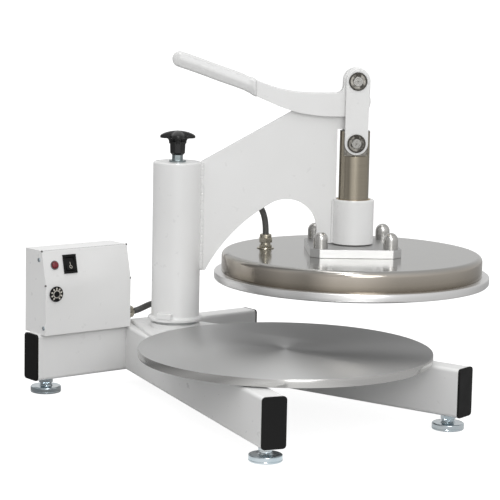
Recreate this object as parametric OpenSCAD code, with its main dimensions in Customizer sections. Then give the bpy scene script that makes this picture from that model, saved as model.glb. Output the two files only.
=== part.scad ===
// Manual swing-away pizza dough press with a heated upper platen.
// Millimetres, +Z up. The origin lies on the bench under the centre of the lower platter,
// -Y points to the operator and +X to the operator's right.
// The swing arm is drawn turned out to the right with the lever resting on the arm.

/* [Base frame] */
// height of the rectangular base tube
tube_h = 76.2; // [60:0.1:90]
// width of the rectangular base tube
tube_w = 38.1; // [30:0.1:45]
// outer corner radius of the base tube
tube_r = 5.5; // [4:0.1:8]
// wall of the base tube
tube_wall = 3; // [2:0.1:4]
// height of the tube's underside above the bench
foot_gap = 23.2; // [20:0.1:32]
// length of the rear bar over its end caps
bar_len = 455; // [420:1:500]
// distance from the post axis back to the middle of the rear bar
bar_back = 86.8; // [82:0.1:92]
// sideways distance of a leg's front end from the middle
leg_end_x = 187.2; // [170:0.1:205]
// distance of a leg's front end in front of the platter axis
leg_end_front = 209.3; // [190:0.1:225]
// angle between a leg and the front direction
leg_splay = 15.15; // [12:0.05:17]
// thickness of an end cap outside the tube
cap_t = 2.5; // [1.5:0.1:4]
// depth of an end cap's plug inside the tube
cap_plug = 10; // [6:0.5:14]
// gap between a cap's plug and the tube wall
cap_clear = 0.2; // [0.1:0.05:0.4]

/* [Levelling feet] */
// distance of a foot's axis from the end of its tube
foot_inset = 30; // [28:0.5:45]
// radius of the foot's lower ring
foot_r = 25; // [20:0.5:28]
// height of the foot's lower ring
foot_ring_h = 4; // [3:0.1:6]
// radius of the foot's cup
foot_cup_r = 23.8; // [18:0.1:27]
// top of the foot's cup
foot_cup_top = 10.5; // [8:0.1:12]
// radius of the foot's neck
foot_neck_r = 9.5; // [8:0.1:12]
// radius over the corners of the foot's lock nut
foot_nut_r = 11.5; // [10:0.1:14]
// height of the foot's lock nut
foot_nut_h = 7; // [5:0.1:8]
// radius of the foot's stud
foot_stud_r = 6; // [5:0.1:8]
// top of the foot's stud above the bench
foot_stud_top = 58; // [45:1:70]
// thickness of the threaded insert inside the tube
insert_t = 10; // [6:0.5:14]
// side of the square insert
insert_w = 27; // [22:0.5:30]
// gap around the stud in the tube wall
stud_gap = 0.6; // [0.3:0.05:1]

/* [Lower platter] */
// distance from the platter's rim back to the post axis
post_room = 63.4; // [58:0.1:70]
// thickness of the lower platter
platter_t = 12.7; // [10:0.1:16]
// chamfer on the platter's rims
platter_chamfer = 0.8; // [0.3:0.1:2]
// thickness of the pads between platter and tubes
pad_t = 2; // [1:0.1:4]
// radius of a pad
pad_r = 16; // [12:0.5:18]
// radius of a platter bolt
bolt_r = 4; // [3:0.1:5]
// depth of a platter bolt in the platter
bolt_depth = 8; // [5:0.5:9]
// radius over the corners of a platter bolt's head
bolt_head_r = 7.5; // [6:0.1:9]
// height of a platter bolt's head
bolt_head_h = 5; // [4:0.1:6]
// distance of the front bolt from the leg's front end
bolt_front = 100; // [80:1:120]
// distance of the rear bolt from the leg's front end
bolt_rear = 330; // [300:1:360]

/* [Swing post] */
// distance from the platter axis back to the post axis
arm_reach = 292; // [280:0.5:305]
// thickness of the plate under the post
post_plate_t = 5; // [4:0.1:8]
// half width of the post plate at its front edge
post_plate_front = 82; // [70:0.5:86]
// half width of the post plate at its rear edge
post_plate_rear = 27; // [24:0.5:40]
// distance of the plate's front edge in front of the post axis
post_plate_fore = 49; // [44:0.5:54]
// distance of the plate's rear edge behind the post axis
post_plate_aft = 92; // [80:0.5:100]
// radius of the post
post_r = 31; // [28:0.1:33]
// wall of the post
post_wall = 6; // [4:0.1:8]
// radius of the flange around the foot of the post
post_flange_r = 41; // [38:0.1:44]
// thickness of the post flange
post_flange_t = 7.2; // [5:0.1:8]
// radius of the thrust washer
thrust_r = 35.5; // [33.5:0.1:38]
// height of the gap that the thrust washer fills
thrust_h = 4.6; // [3:0.1:6]
// flat gap between moving faces
face_gap = 0.3; // [0.2:0.05:0.5]
// radial clearance of a running fit
run_gap = 0.05; // [0.02:0.01:0.09]
// thickness of the plug in the post's top
post_plug_t = 10; // [6:0.5:14]

/* [Swing sleeve] */
// radius of the sleeve
sleeve_r = 39.7; // [38:0.1:42]
// wall of the sleeve
sleeve_wall = 5; // [4:0.1:6]
// height of the sleeve
sleeve_h = 262.7; // [240:0.1:285]
// radius of the sleeve's foot flange
flange_r = 45.4; // [43:0.1:48]
// thickness of the sleeve's foot flange
flange_t = 5.5; // [4:0.1:7]
// thickness of the sleeve's cap
sleeve_cap_t = 7.5; // [6:0.1:10]
// step from the sleeve's rim down to the cap
sleeve_cap_step = 0.5; // [0.2:0.1:1]
// height of a sleeve bush
sleeve_bush_h = 30; // [20:1:40]
// distance of a sleeve bush from the end of the post or sleeve
sleeve_bush_in = 2; // [1:0.5:6]
// space between the post's top and the sleeve cap
post_top_gap = 5; // [3:0.1:8]
// turn of the arm from the front in the drawn position
rest_swing = 55; // [50:0.5:60]
// width of the swing stop tab
stop_w = 26; // [18:0.5:32]
// depth of the swing stop tab
stop_d = 6; // [4:0.1:8]
// height of the swing stop tab
stop_h = 9; // [6:0.1:12]
// direction of the swing stop tab from the arm
stop_turn = 244; // [235:1:255]

/* [Arm plate] */
// thickness of the arm plate
arm_t = 12; // [10:0.1:14]
// height of the lower end of the arm plate
arm_low_z = 199.5; // [190:0.5:210]
// height of the arm plate's corner at the sleeve
arm_top_z = 380; // [370:0.5:390]
// distance from the ram axis back to the bend in the upper edge
arm_bend_in = 92; // [80:0.5:100]
// height of the fulcrum above the bend in the upper edge
arm_bend_drop = 11; // [9:0.1:14]
// distance of the arm plate's lower end from the sleeve
arm_foot = 8.6; // [4:0.1:12]
// radius of the arm plate's nose
nose_r = 19.5; // [16:0.1:21]
// radius of the arch under the arm
arch_r = 50.5; // [44:0.1:54]
// distance from the ram axis back to the arch centre
arch_in = 110.7; // [104:0.1:118]
// height of the arch centre
arch_z = 269.2; // [260:0.1:280]
// radius of the long flank of the arch
flank_r = 275.5; // [240:0.5:310]
// width of the slot between ram axis and arm plate
ram_slot = 29.5; // [27.5:0.1:32]
// height of the top of the ram slot
ram_slot_top = 436.8; // [430:0.1:439]
// half width of the throat for the crank pin
throat = 14; // [12.5:0.1:16]

/* [Ram collar] */
// radius of the collar
collar_r = 34.5; // [32:0.1:36]
// bore radius of the collar
collar_bore = 28; // [27:0.1:30]
// height of the collar's lower end
collar_z = 247.4; // [246:0.1:252]
// height of the collar
collar_h = 73.6; // [60:0.1:85]
// height of a collar bush
collar_bush_h = 24; // [15:1:30]

/* [Ram] */
// radius of the ram
ram_r = 25; // [23:0.1:27]
// height of the ram's top
ram_top = 434.5; // [430:0.1:437]
// height of the shoulder under the ram's flats
ram_shoulder = 393.5; // [385:0.1:394.5]
// half thickness of the ram's tongue
tongue = 16; // [14:0.1:16.2]
// radius of the ram's lower spigot
spigot_r = 15; // [10:0.1:20]

/* [Links and pins] */
// distance between a link's pins
link_len = 101.6; // [90:0.1:112]
// half width of a link
link_r = 19; // [16:0.1:20]
// thickness of a link
link_t = 9; // [7:0.1:11]
// gap between flat sides that slide past each other
side_gap = 0.5; // [0.3:0.05:0.8]
// radius of the crank pin and the ram pin
pin_r = 8; // [6:0.1:9]
// height of the ram pin
ram_pin_z = 414.9; // [412:0.1:418]
// radius of the pin washers
washer_r = 15; // [12:0.1:17]
// thickness of the pin washers
washer_t = 1.6; // [1:0.1:2.5]
// radius of the retaining clips
clip_r = 12.5; // [10:0.1:14]
// thickness of the retaining clips
clip_t = 1.3; // [0.8:0.1:2]
// length of the pin end outside the clip
pin_end = 2; // [1:0.1:4]
// half width of a retaining clip's mouth
clip_mouth = 4; // [2:0.1:6]

/* [Lever] */
// throw of the crank pin
crank = 33; // [28:0.1:35]
// length of the lever from fulcrum to grip end
lever_len = 302.7; // [270:0.1:330]
// thickness of a lever plate
lever_t = 9.5; // [8:0.1:11]
// radius of the lever's ear around the crank pin
ear_r = 21.5; // [19:0.1:23]
// radius of the lever's hub
hub_r = 24.5; // [23:0.1:25.5]
// offset of the hub behind the fulcrum
hub_back = 1.7; // [1:0.1:4]
// fillet between ear and lever
ear_fillet = 12; // [8:0.1:16]
// radius of the fulcrum pin
fulcrum_r = 9; // [7:0.1:11]
// half height of the grip
grip_half = 12.2; // [11:0.1:14]
// thickness of the grip's skin
grip_skin = 1.5; // [1:0.1:2.5]

/* [Clamp knob] */
// radius of the knob's stud
knob_stud_r = 6; // [5:0.1:7]
// radius of the washer under the knob nut
knob_washer_r = 14; // [12:0.1:17]
// thickness of the washer under the knob nut
knob_washer_t = 3; // [2:0.1:4]
// radius over the corners of the knob nut
knob_nut_r = 9; // [8:0.1:11]
// height of the knob nut
knob_nut_h = 8.5; // [7:0.1:10]
// radius of the foot of the knob's hub
knob_hub_r = 12.2; // [10:0.1:13]
// radius of the top of the knob's hub
knob_neck_r = 13.5; // [12:0.1:16]
// height of the knob's hub
knob_hub_h = 26; // [20:0.1:32]
// reach of a knob arm
knob_reach = 29; // [25:0.1:34]
// half width of a knob arm
knob_arm = 8; // [6:0.1:9]
// height of a knob arm
knob_arm_h = 10.5; // [8:0.1:14]
// height of the dome on the knob
knob_dome_h = 3; // [2:0.1:5]

/* [Heated platen] */
// height of the platen's pressing face
platen_z = 184.4; // [183:0.1:190]
// thickness of the platen
platen_t = 14; // [11:0.1:17]
// chamfer on the platen's lower rim
platen_low_chamfer = 3; // [1:0.1:5]
// chamfer on the platen's upper rim
platen_top_chamfer = 1.5; // [0.5:0.1:3]
// width of the platen's lip around its cover
platen_lip = 12.1; // [8:0.1:16]
// height of the platen cover
cover_h = 33.5; // [28:0.1:36]
// radius of the platen cover's upper rim
cover_round = 9; // [6:0.1:12]
// wall of the platen cover
cover_wall = 1.5; // [1:0.1:2.5]
// width of the mount plate outside the square of the dome nuts
mount_margin = 17.7; // [14:0.1:24]
// thickness of the mount plate
mount_t = 14; // [10:0.1:14.5]
// chamfer on the mount plate's corners
mount_chamfer = 14.5; // [8:0.1:16]
// distance between the dome nuts
nut_pitch = 114.6; // [105:0.1:122]
// radius of a dome nut
nut_r = 12; // [10:0.1:14]
// height of a dome nut
nut_h = 26.7; // [22:0.1:32]
// radius of a platen stud
stud_r = 5; // [4:0.1:6]
// depth of a platen stud in the platen
stud_depth = 8; // [5:0.5:10]
// radius of a platen spacer
spacer_r = 9; // [8:0.1:12]
// radius of the heater tube
heater_r = 4; // [3:0.1:5]
// distance of the heater's outer ring from the cover's side
heater_inset = 41.5; // [30:0.5:50]
// distance between the heater's rings
heater_pitch = 55; // [40:1:60]

/* [Leads and glands] */
// radius of the flexible leads
lead_r = 5.2; // [4.5:0.05:5.3]
// radius over the corners of a gland's hexagon
gland_hex_r = 13; // [11:0.1:15]
// height of a gland's hexagon
gland_hex_h = 11; // [8:0.1:13]
// radius of a gland's dome nut
gland_nut_r = 10.3; // [9:0.1:12]
// height of a gland's dome nut
gland_nut_h = 13; // [10:0.1:15]
// radius of a gland's thread
gland_thread_r = 8; // [7:0.1:9]
// length of a gland's thread inside the panel
gland_thread_h = 8; // [5:0.5:10]
// distance of the platen gland from the post axis along the arm
gland_along = 150; // [140:0.5:160]
// distance of the platen gland behind the arm's middle plane
gland_behind = 33; // [28:0.5:40]
// width of the lead guide on the sleeve
guide_w = 15; // [13:0.1:18]
// depth of the lead guide
guide_d = 11; // [9:0.1:14]
// height of the lead guide
guide_h = 59; // [45:0.5:70]
// height of the lower end of the lead guide
guide_z = 123.5; // [122.5:0.1:132]
// direction of the lead guide from the arm
guide_turn = 127; // [120:1:138]
// direction where the arm lead leaves the sleeve
lead_leave_turn = 80; // [75:1:88]
// height where the lead enters the guide
lead_in_z = 134; // [130:0.5:138]
// height where the lead turns around the sleeve
lead_turn_z = 190; // [186:0.5:200]
// height of the bend where the lead leaves the guide
lead_bend = 14; // [10:0.5:18]
// turn around the sleeve taken by that bend
lead_bend_turn = 17; // [14:1:22]
// distance of the lead clip from the post axis along the arm
clip_along = 126; // [120:0.5:130]
// height of the lead clip
clip_z = 309; // [306:0.5:314]
// side of the lead clip
clip_w = 15; // [13:0.1:18]

/* [Control box] */
// distance of the box's right side left of the middle
box_right = 52; // [46:0.5:60]
// depth of the control box
box_d = 62; // [54:0.5:70]
// height of the control box
box_h = 137.6; // [125:0.1:150]
// distance of the box's left side from the end of the rear bar
box_inset = 9.5; // [5:0.1:15]
// height of the bend in the box's front
box_bend = 82; // [76:0.5:88]
// setback of the box's upper front edge
box_lean = 13; // [9:0.1:17]
// sheet thickness of the box
sheet_t = 1.5; // [1:0.1:2]
// gap between cover and chassis
sheet_gap = 0.2; // [0.1:0.05:0.4]
// radius of a cover screw's head
screw_r = 3.6; // [3:0.1:4.5]
// height of a cover screw's head
screw_h = 1.8; // [1.2:0.1:2.5]
// radius of a cover screw's thread
screw_thread_r = 2; // [1.5:0.1:2.5]
// length of a cover screw's thread
screw_len = 8; // [5:0.5:10]
// width of the rocker switch
switch_w = 25; // [22:0.1:28]
// height of the rocker switch
switch_h = 31; // [27:0.1:34]
// thickness of the switch's rim
switch_rim = 2; // [1.5:0.1:3]
// width of the switch's rim around the rocker
switch_border = 3; // [2:0.1:4]
// depth of the switch behind the panel
switch_deep = 18; // [14:0.5:24]
// distance of the switch from the box's left side
switch_x = 50; // [44:0.5:56]
// distance of the switch and lamp above the bend, along the slope
switch_up = 32.5; // [29:0.5:35]
// lift of the pressed rocker's ends
rocker_rise = 2.2; // [1.5:0.1:3]
// radius of the rocker's pivot pin
rocker_pin_r = 1.2; // [0.8:0.1:1.4]
// length of the rocker's pivot pin in the housing wall
rocker_pin_in = 0.6; // [0.4:0.1:0.8]
// distance of the lamp from the box's left side
lamp_x = 21; // [18:0.5:24]
// radius of the lamp's lens
lamp_r = 6; // [5:0.1:7]
// height of the lamp's lens
lamp_h = 5; // [4:0.1:6]
// radius of the lamp's bezel
lamp_bezel_r = 7.5; // [7.2:0.1:8.5]
// thickness of the lamp's bezel
lamp_bezel_t = 1.2; // [0.8:0.1:2]
// depth of the lamp behind the panel
lamp_deep = 16; // [12:0.5:20]
// distance of the thermostat from the box's left side
dial_x = 19.5; // [18:0.5:24]
// height of the thermostat above the box's lower edge
dial_z = 67.5; // [60:0.5:70]
// radius of the thermostat knob
dial_r = 12.6; // [11:0.1:14]
// height of the thermostat knob
dial_h = 2.2; // [1.5:0.1:6]
// radius of the boss on the thermostat knob
dial_boss_r = 4.5; // [3.5:0.1:6]
// height of the boss on the thermostat knob
dial_boss_h = 2.5; // [1.5:0.1:4]
// radius of the thermostat's spindle
spindle_r = 3; // [2.5:0.1:3.5]
// radius of the thermostat's body
thermostat_r = 15; // [12:0.1:17]
// depth of the thermostat's body
thermostat_d = 24; // [18:0.5:30]
// height of the box gland above the box's lower edge
gland_up = 18.6; // [16:0.1:24]

/* [Hidden] */
$fn = 96;
cut = sheet_t;
tube_mid_z = foot_gap + tube_h / 2;
tube_top = foot_gap + tube_h;
bar_y = arm_reach + bar_back;
bar_front = bar_y - tube_w / 2;
leg_cos_share = cos(leg_splay);
leg_stock = (leg_end_front + bar_y) / leg_cos_share;
platter_r = arm_reach - post_room;
platter_z = tube_top + pad_t;
post_base_z = tube_top + post_plate_t;
thrust_z = post_base_z + post_flange_t;
sleeve_z = thrust_z + thrust_h;
sleeve_top = sleeve_z + sleeve_h;
sleeve_bore = sleeve_r - sleeve_wall;
sleeve_cap_z = sleeve_top - sleeve_cap_step - sleeve_cap_t;
post_top = sleeve_cap_z - post_top_gap;
crank_pin_z = ram_pin_z + link_len;
pivot_z = crank_pin_z - crank;
lever_in = arm_t / 2 + side_gap;
lever_out = lever_in + lever_t;
link_in = lever_out + side_gap;
link_out = link_in + link_t;
washer_in = link_out + face_gap;
clip_in = washer_in + washer_t;
pin_half = clip_in + clip_t + pin_end;
platen_r = platter_r;
cover_r = platen_r - platen_lip;
heater_out = cover_r - heater_inset;
heater_in = heater_out - heater_pitch;
platen_top = platen_z + platen_t;
cover_top = platen_top + cover_h;
mount_top = cover_top + mount_t;
arm_bend = [arm_reach - arm_bend_in, pivot_z - arm_bend_drop];
arm_rise = atan((arm_bend[1] - arm_top_z) / (arm_bend[0] - sleeve_r));
arch_x = arm_reach - arch_in;
arch_to_foot = [sleeve_r + arm_foot - arch_x, arm_low_z - arch_z];
flank_way = flank_r - arch_r;
flank_share = (flank_way * flank_way + arch_to_foot * arch_to_foot - flank_r * flank_r) / (2 * flank_way);
flank_turn = atan2(arch_to_foot[1], arch_to_foot[0]) + acos(flank_share / norm(arch_to_foot)) + 90;
nut_barrel = nut_h - nut_r;
mount_half = nut_pitch / 2 + mount_margin;
knob_base_z = sleeve_cap_z + sleeve_cap_t + knob_washer_t + knob_nut_h + face_gap;
knob_arm_z = knob_base_z + knob_hub_h;
lead_way = sleeve_r + guide_d / 2;
clip_y = arm_t / 2 + clip_w / 2;
box_left = box_inset - bar_len / 2;
box_w = -box_left - box_right;
box_front = bar_y - box_d / 2;
box_back = bar_y + box_d / 2;
box_top = tube_top + box_h;
box_slope = atan(box_lean / (box_h - box_bend));
gland_y = bar_y;
switch_well_share = 2.8;
switch_well = switch_well_share * switch_border;
lamp_shoulder_share = 0.6;
lamp_edge_share = 0.9;
lamp_edge_r_share = 0.8;
lamp_crown_r_share = 0.4;
gland_len = gland_hex_h + gland_nut_h;
// middle line of the lever from the hub to the grip, and its half heights, as shares of the length
lever_line_shares = [
    [0, -0.0218, 0.0631], [-0.105, -0.0218, 0.0631], [-0.175, -0.0221, 0.0621],
    [-0.238, -0.0195, 0.0595], [-0.303, -0.0135, 0.0558], [-0.347, -0.0055, 0.0525],
    [-0.390, 0.0046, 0.0492], [-0.430, 0.0165, 0.0464], [-0.468, 0.0301, 0.0442],
    [-0.505, 0.0445, 0.0428], [-0.545, 0.0605, 0.0422]
];
// middle line of the hand grip
grip_line_shares = [
    [-0.545, 0.0605], [-0.580, 0.0755], [-0.613, 0.0918], [-0.667, 0.1110],
    [-0.727, 0.1305], [-0.786, 0.1506], [-0.846, 0.1720], [-0.912, 0.1939]
];
grip_tip_shares = [-0.9597, 0.2090];
grip_tilt = 18;
grip_tilt_share = 1 / cos(grip_tilt);

function polar(r, a, z) = [r * cos(a), r * sin(a), z];
function bezier(p, t) =
    p[0] * pow(1 - t, 3) + p[1] * 3 * t * pow(1 - t, 2) + p[2] * 3 * t * t * (1 - t) + p[3] * pow(t, 3);

module rounded(w, h, r) {
    square([w - 2 * r, h], center = true);
    square([w, h - 2 * r], center = true);
    for (sx = [-1, 1], sy = [-1, 1])
        translate([sx * (w / 2 - r), sy * (h / 2 - r)])
            circle(r);
}

module ring(outer, inner, h) {
    linear_extrude(height = h)
        difference() {
            circle(outer);
            circle(inner);
        }
}

function unit(v) = v / norm(v);
function heading(p, i) = unit(p[min(i + 1, len(p) - 1)] - p[max(i - 1, 0)]);
function curve(p, steps) = [for (i = [1 : steps]) bezier(p, i / steps)];

// a round lead along a line of points; side is never parallel to the lead
module lead(p, r, side) {
    n = 16;
    m = len(p);
    polyhedron(
        points = [
            for (i = [0 : m - 1])
                let (t = heading(p, i), a = unit(cross(t, side)), b = cross(a, t))
                    for (k = [0 : n - 1])
                        p[i] + r * (cos(360 * k / n) * a + sin(360 * k / n) * b)
        ],
        faces = concat(
            [[for (k = [n - 1 : -1 : 0]) k]],
            [[for (k = [0 : n - 1]) (m - 1) * n + k]],
            [
                for (i = [0 : m - 2], k = [0 : n - 1])
                    [i * n + k, i * n + (k + 1) % n, (i + 1) * n + (k + 1) % n, (i + 1) * n + k]
            ]
        )
    );
}

module along_x(len) {
    rotate([90, 0, 90])
        linear_extrude(height = len)
            children();
}

module tube_section() {
    difference() {
        rounded(tube_w, tube_h, tube_r);
        rounded(tube_w - 2 * tube_wall, tube_h - 2 * tube_wall, tube_r - tube_wall);
    }
}

module end_cap() {
    along_x(cap_t)
        rounded(tube_w, tube_h, tube_r);
    translate([cap_t, 0, 0])
        along_x(cap_plug)
            rounded(
                tube_w - 2 * tube_wall - 2 * cap_clear,
                tube_h - 2 * tube_wall - 2 * cap_clear,
                tube_r - tube_wall - cap_clear
            );
}

// a leg's own frame: x runs from its front end to the rear along its middle line
module leg_frame() {
    translate([leg_end_x, -leg_end_front, 0])
        rotate([0, 0, 90 + leg_splay])
            children();
}

module both_legs() {
    leg_frame()
        children();
    mirror([1, 0, 0])
        leg_frame()
            children();
}

module bar_ends() {
    translate([-bar_len / 2, bar_y, 0])
        children();
    mirror([1, 0, 0])
        translate([-bar_len / 2, bar_y, 0])
            children();
}

// the arm's own frame: x runs from the post axis to the ram axis, y to the arm's rear side
module on_arm() {
    translate([0, arm_reach, 0])
        rotate([0, 0, rest_swing - 90])
            children();
}

module on_ram() {
    on_arm()
        translate([arm_reach, 0, 0])
            children();
}

// an upright outline given in the arm's plane, from the front side to the rear side
module slab(front, rear) {
    translate([0, rear, 0])
        rotate([90, 0, 0])
            linear_extrude(height = rear - front)
                children();
}

module nut_places() {
    for (sx = [-1, 1], sy = [-1, 1])
        translate([sx * nut_pitch / 2, sy * nut_pitch / 2, 0])
            children();
}

module leg() {
    difference() {
        intersection() {
            leg_frame()
                translate([cap_t, 0, tube_mid_z])
                    along_x(leg_stock)
                        tube_section();
            translate([-bar_len, -bar_len, 0])
                cube([2 * bar_len, bar_len + bar_front, 2 * tube_h]);
        }
        leg_frame()
            translate([foot_inset, 0, foot_gap - cut])
                cylinder(r = foot_stud_r + stud_gap, h = tube_wall + 2 * cut);
        for (d = [bolt_front, bolt_rear])
            leg_frame()
                translate([d, 0, tube_top - tube_wall - cut])
                    cylinder(r = bolt_r + stud_gap, h = tube_wall + 2 * cut);
    }
}

module left_leg() {
    color([0.92, 0.92, 0.92])
        mirror([1, 0, 0])
            leg();
}

module right_leg() {
    color([0.92, 0.92, 0.92])
        leg();
}

module rear_bar() {
    color([0.92, 0.92, 0.92])
        difference() {
            translate([cap_t - bar_len / 2, bar_y, tube_mid_z])
                along_x(bar_len - 2 * cap_t)
                    tube_section();
            bar_ends()
                translate([foot_inset, 0, foot_gap - cut])
                    cylinder(r = foot_stud_r + stud_gap, h = tube_wall + 2 * cut);
        }
}

module end_caps() {
    color([0.08, 0.08, 0.08]) {
        both_legs()
            translate([0, 0, tube_mid_z])
                end_cap();
        bar_ends()
            translate([0, 0, tube_mid_z])
                end_cap();
    }
}

module foot_insert() {
    translate([foot_inset, 0, foot_gap + tube_wall])
        linear_extrude(height = insert_t)
            difference() {
                square(insert_w, center = true);
                circle(foot_stud_r + run_gap);
            }
}

module foot_inserts() {
    color([0.6, 0.62, 0.65]) {
        both_legs()
            foot_insert();
        bar_ends()
            foot_insert();
    }
}

module levelling_foot() {
    color([0.72, 0.76, 0.8])
        translate([foot_inset, 0, 0]) {
            cylinder(r = foot_r, h = foot_ring_h);
            cylinder(r = foot_cup_r, h = foot_cup_top);
            cylinder(r = foot_neck_r, h = foot_gap - side_gap);
            translate([0, 0, foot_gap - side_gap - foot_nut_h])
                cylinder(r = foot_nut_r, h = foot_nut_h, $fn = 6);
            cylinder(r = foot_stud_r, h = foot_stud_top);
        }
}

module front_left_foot() {
    mirror([1, 0, 0])
        leg_frame()
            levelling_foot();
}

module front_right_foot() {
    leg_frame()
        levelling_foot();
}

module rear_left_foot() {
    translate([-bar_len / 2, bar_y, 0])
        levelling_foot();
}

module rear_right_foot() {
    mirror([1, 0, 0])
        translate([-bar_len / 2, bar_y, 0])
            levelling_foot();
}

module lower_platter() {
    color([0.72, 0.72, 0.7])
        difference() {
            translate([0, 0, platter_z])
                rotate_extrude()
                    polygon([
                        [0, 0],
                        [platter_r - platter_chamfer, 0],
                        [platter_r, platter_chamfer],
                        [platter_r, platter_t - platter_chamfer],
                        [platter_r - platter_chamfer, platter_t],
                        [0, platter_t]
                    ]);
            both_legs()
                for (d = [bolt_front, bolt_rear])
                    translate([d, 0, platter_z - cut])
                        cylinder(r = bolt_r, h = bolt_depth + cut);
        }
}

module platter_pads() {
    color([0.15, 0.15, 0.15])
        both_legs()
            for (d = [bolt_front, bolt_rear])
                translate([d, 0, tube_top])
                    ring(pad_r, bolt_r + stud_gap, pad_t);
}

module platter_bolts() {
    color([0.7, 0.72, 0.74])
        both_legs()
            for (d = [bolt_front, bolt_rear])
                translate([d, 0, tube_top - tube_wall - bolt_head_h]) {
                    cylinder(r = bolt_head_r, h = bolt_head_h, $fn = 6);
                    cylinder(r = bolt_r, h = bolt_head_h + tube_wall + pad_t + bolt_depth);
                }
}

module post_plate() {
    color([0.92, 0.92, 0.92])
        translate([0, arm_reach, tube_top]) {
            linear_extrude(height = post_plate_t)
                polygon([
                    [-post_plate_front, -post_plate_fore],
                    [post_plate_front, -post_plate_fore],
                    [post_plate_rear, post_plate_aft],
                    [-post_plate_rear, post_plate_aft]
                ]);
            translate([0, 0, post_plate_t])
                ring(post_flange_r, post_r, post_flange_t);
        }
}

module swing_post() {
    color([0.7, 0.7, 0.7])
        difference() {
            translate([0, arm_reach, post_base_z])
                cylinder(r = post_r, h = post_top - post_base_z);
            translate([0, arm_reach, post_base_z - cut])
                cylinder(r = post_r - post_wall, h = post_top - post_base_z - post_plug_t + cut);
        }
}

module thrust_washer() {
    color([0.45, 0.4, 0.32])
        translate([0, arm_reach, thrust_z])
            ring(thrust_r, post_r, thrust_h - face_gap);
}

module swing_sleeve() {
    color([0.93, 0.93, 0.93])
        on_arm()
            translate([0, 0, sleeve_z]) {
                ring(sleeve_r, sleeve_bore, sleeve_h);
                ring(flange_r, sleeve_bore, flange_t);
            }
}

module sleeve_cap() {
    color([0.93, 0.93, 0.93])
        on_arm()
            translate([0, 0, sleeve_cap_z])
                ring(sleeve_bore, knob_stud_r + run_gap, sleeve_cap_t);
}

module sleeve_bushes() {
    color([0.6, 0.5, 0.3])
        on_arm() {
            translate([0, 0, sleeve_z + sleeve_bush_in])
                ring(sleeve_bore, post_r + run_gap, sleeve_bush_h);
            translate([0, 0, post_top - sleeve_bush_in - sleeve_bush_h])
                ring(sleeve_bore, post_r + run_gap, sleeve_bush_h);
        }
}

module swing_stop() {
    color([0.95, 0.95, 0.95])
        on_arm()
            difference() {
                rotate([0, 0, stop_turn])
                    translate([0, -stop_w / 2, sleeve_z + flange_t])
                        cube([sleeve_r + stop_d, stop_w, stop_h]);
                cylinder(r = sleeve_r, h = sleeve_top);
            }
}

// points of an arc from one direction to another
function arc(c, r, from, to, steps) =
    [for (i = [0 : steps]) c + r * [cos(from + (to - from) * i / steps), sin(from + (to - from) * i / steps)]];

// the arm's outline in its own plane: sleeve side, upper edge, throat and ram slot, arch and long flank
module arm_outline() {
    far = [
        arch_x + flank_way * sin(flank_turn),
        arch_z - flank_way * cos(flank_turn)
    ];
    low_turn = 180 - asin((arm_low_z - far[1]) / flank_r);
    polygon(concat(
        [
            [-sleeve_bore, arm_low_z],
            [-sleeve_bore, arm_top_z],
            [sleeve_r, arm_top_z],
            arm_bend
        ],
        arc([arm_reach, pivot_z], nose_r, 150, -180 + acos(throat / nose_r), 24),
        [
            [arm_reach - throat, ram_slot_top],
            [arm_reach - ram_slot, ram_slot_top],
            [arm_reach - ram_slot, collar_z],
            [arch_x + arch_r, collar_z]
        ],
        arc([arch_x, arch_z], arch_r, 0, 90 + flank_turn, 30),
        [for (i = [1 : 24]) arc(far, flank_r, 90 + flank_turn, low_turn, 24)[i]]
    ));
}

module arm_plate() {
    color([0.93, 0.93, 0.93])
        on_arm()
            difference() {
                slab(-arm_t / 2, arm_t / 2)
                    difference() {
                        arm_outline();
                        translate([arm_reach, pivot_z])
                            circle(fulcrum_r + run_gap);
                    }
                cylinder(r = sleeve_r, h = 2 * sleeve_top);
                translate([arm_reach, 0, 0])
                    cylinder(r = collar_r, h = collar_z + collar_h);
            }
}

module ram_collar() {
    color([0.93, 0.93, 0.93])
        on_ram()
            translate([0, 0, collar_z])
                ring(collar_r, collar_bore, collar_h);
}

module collar_bushes() {
    color([0.6, 0.5, 0.3])
        on_ram() {
            translate([0, 0, collar_z])
                ring(collar_bore, ram_r + run_gap, collar_bush_h);
            translate([0, 0, collar_z + collar_h - collar_bush_h])
                ring(collar_bore, ram_r + run_gap, collar_bush_h);
        }
}

module lead_guide() {
    color([0.93, 0.93, 0.93])
        on_arm()
            difference() {
                rotate([0, 0, guide_turn])
                    translate([0, -guide_w / 2, guide_z])
                        cube([sleeve_r + guide_d, guide_w, guide_h]);
                cylinder(r = sleeve_r, h = sleeve_top);
                rotate([0, 0, guide_turn])
                    translate([lead_way, -lead_r - run_gap, 0])
                        cube([guide_d, 2 * (lead_r + run_gap), sleeve_top]);
                rotate([0, 0, guide_turn])
                    translate([lead_way, 0, 0])
                        cylinder(r = lead_r + run_gap, h = sleeve_top);
            }
}

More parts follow.
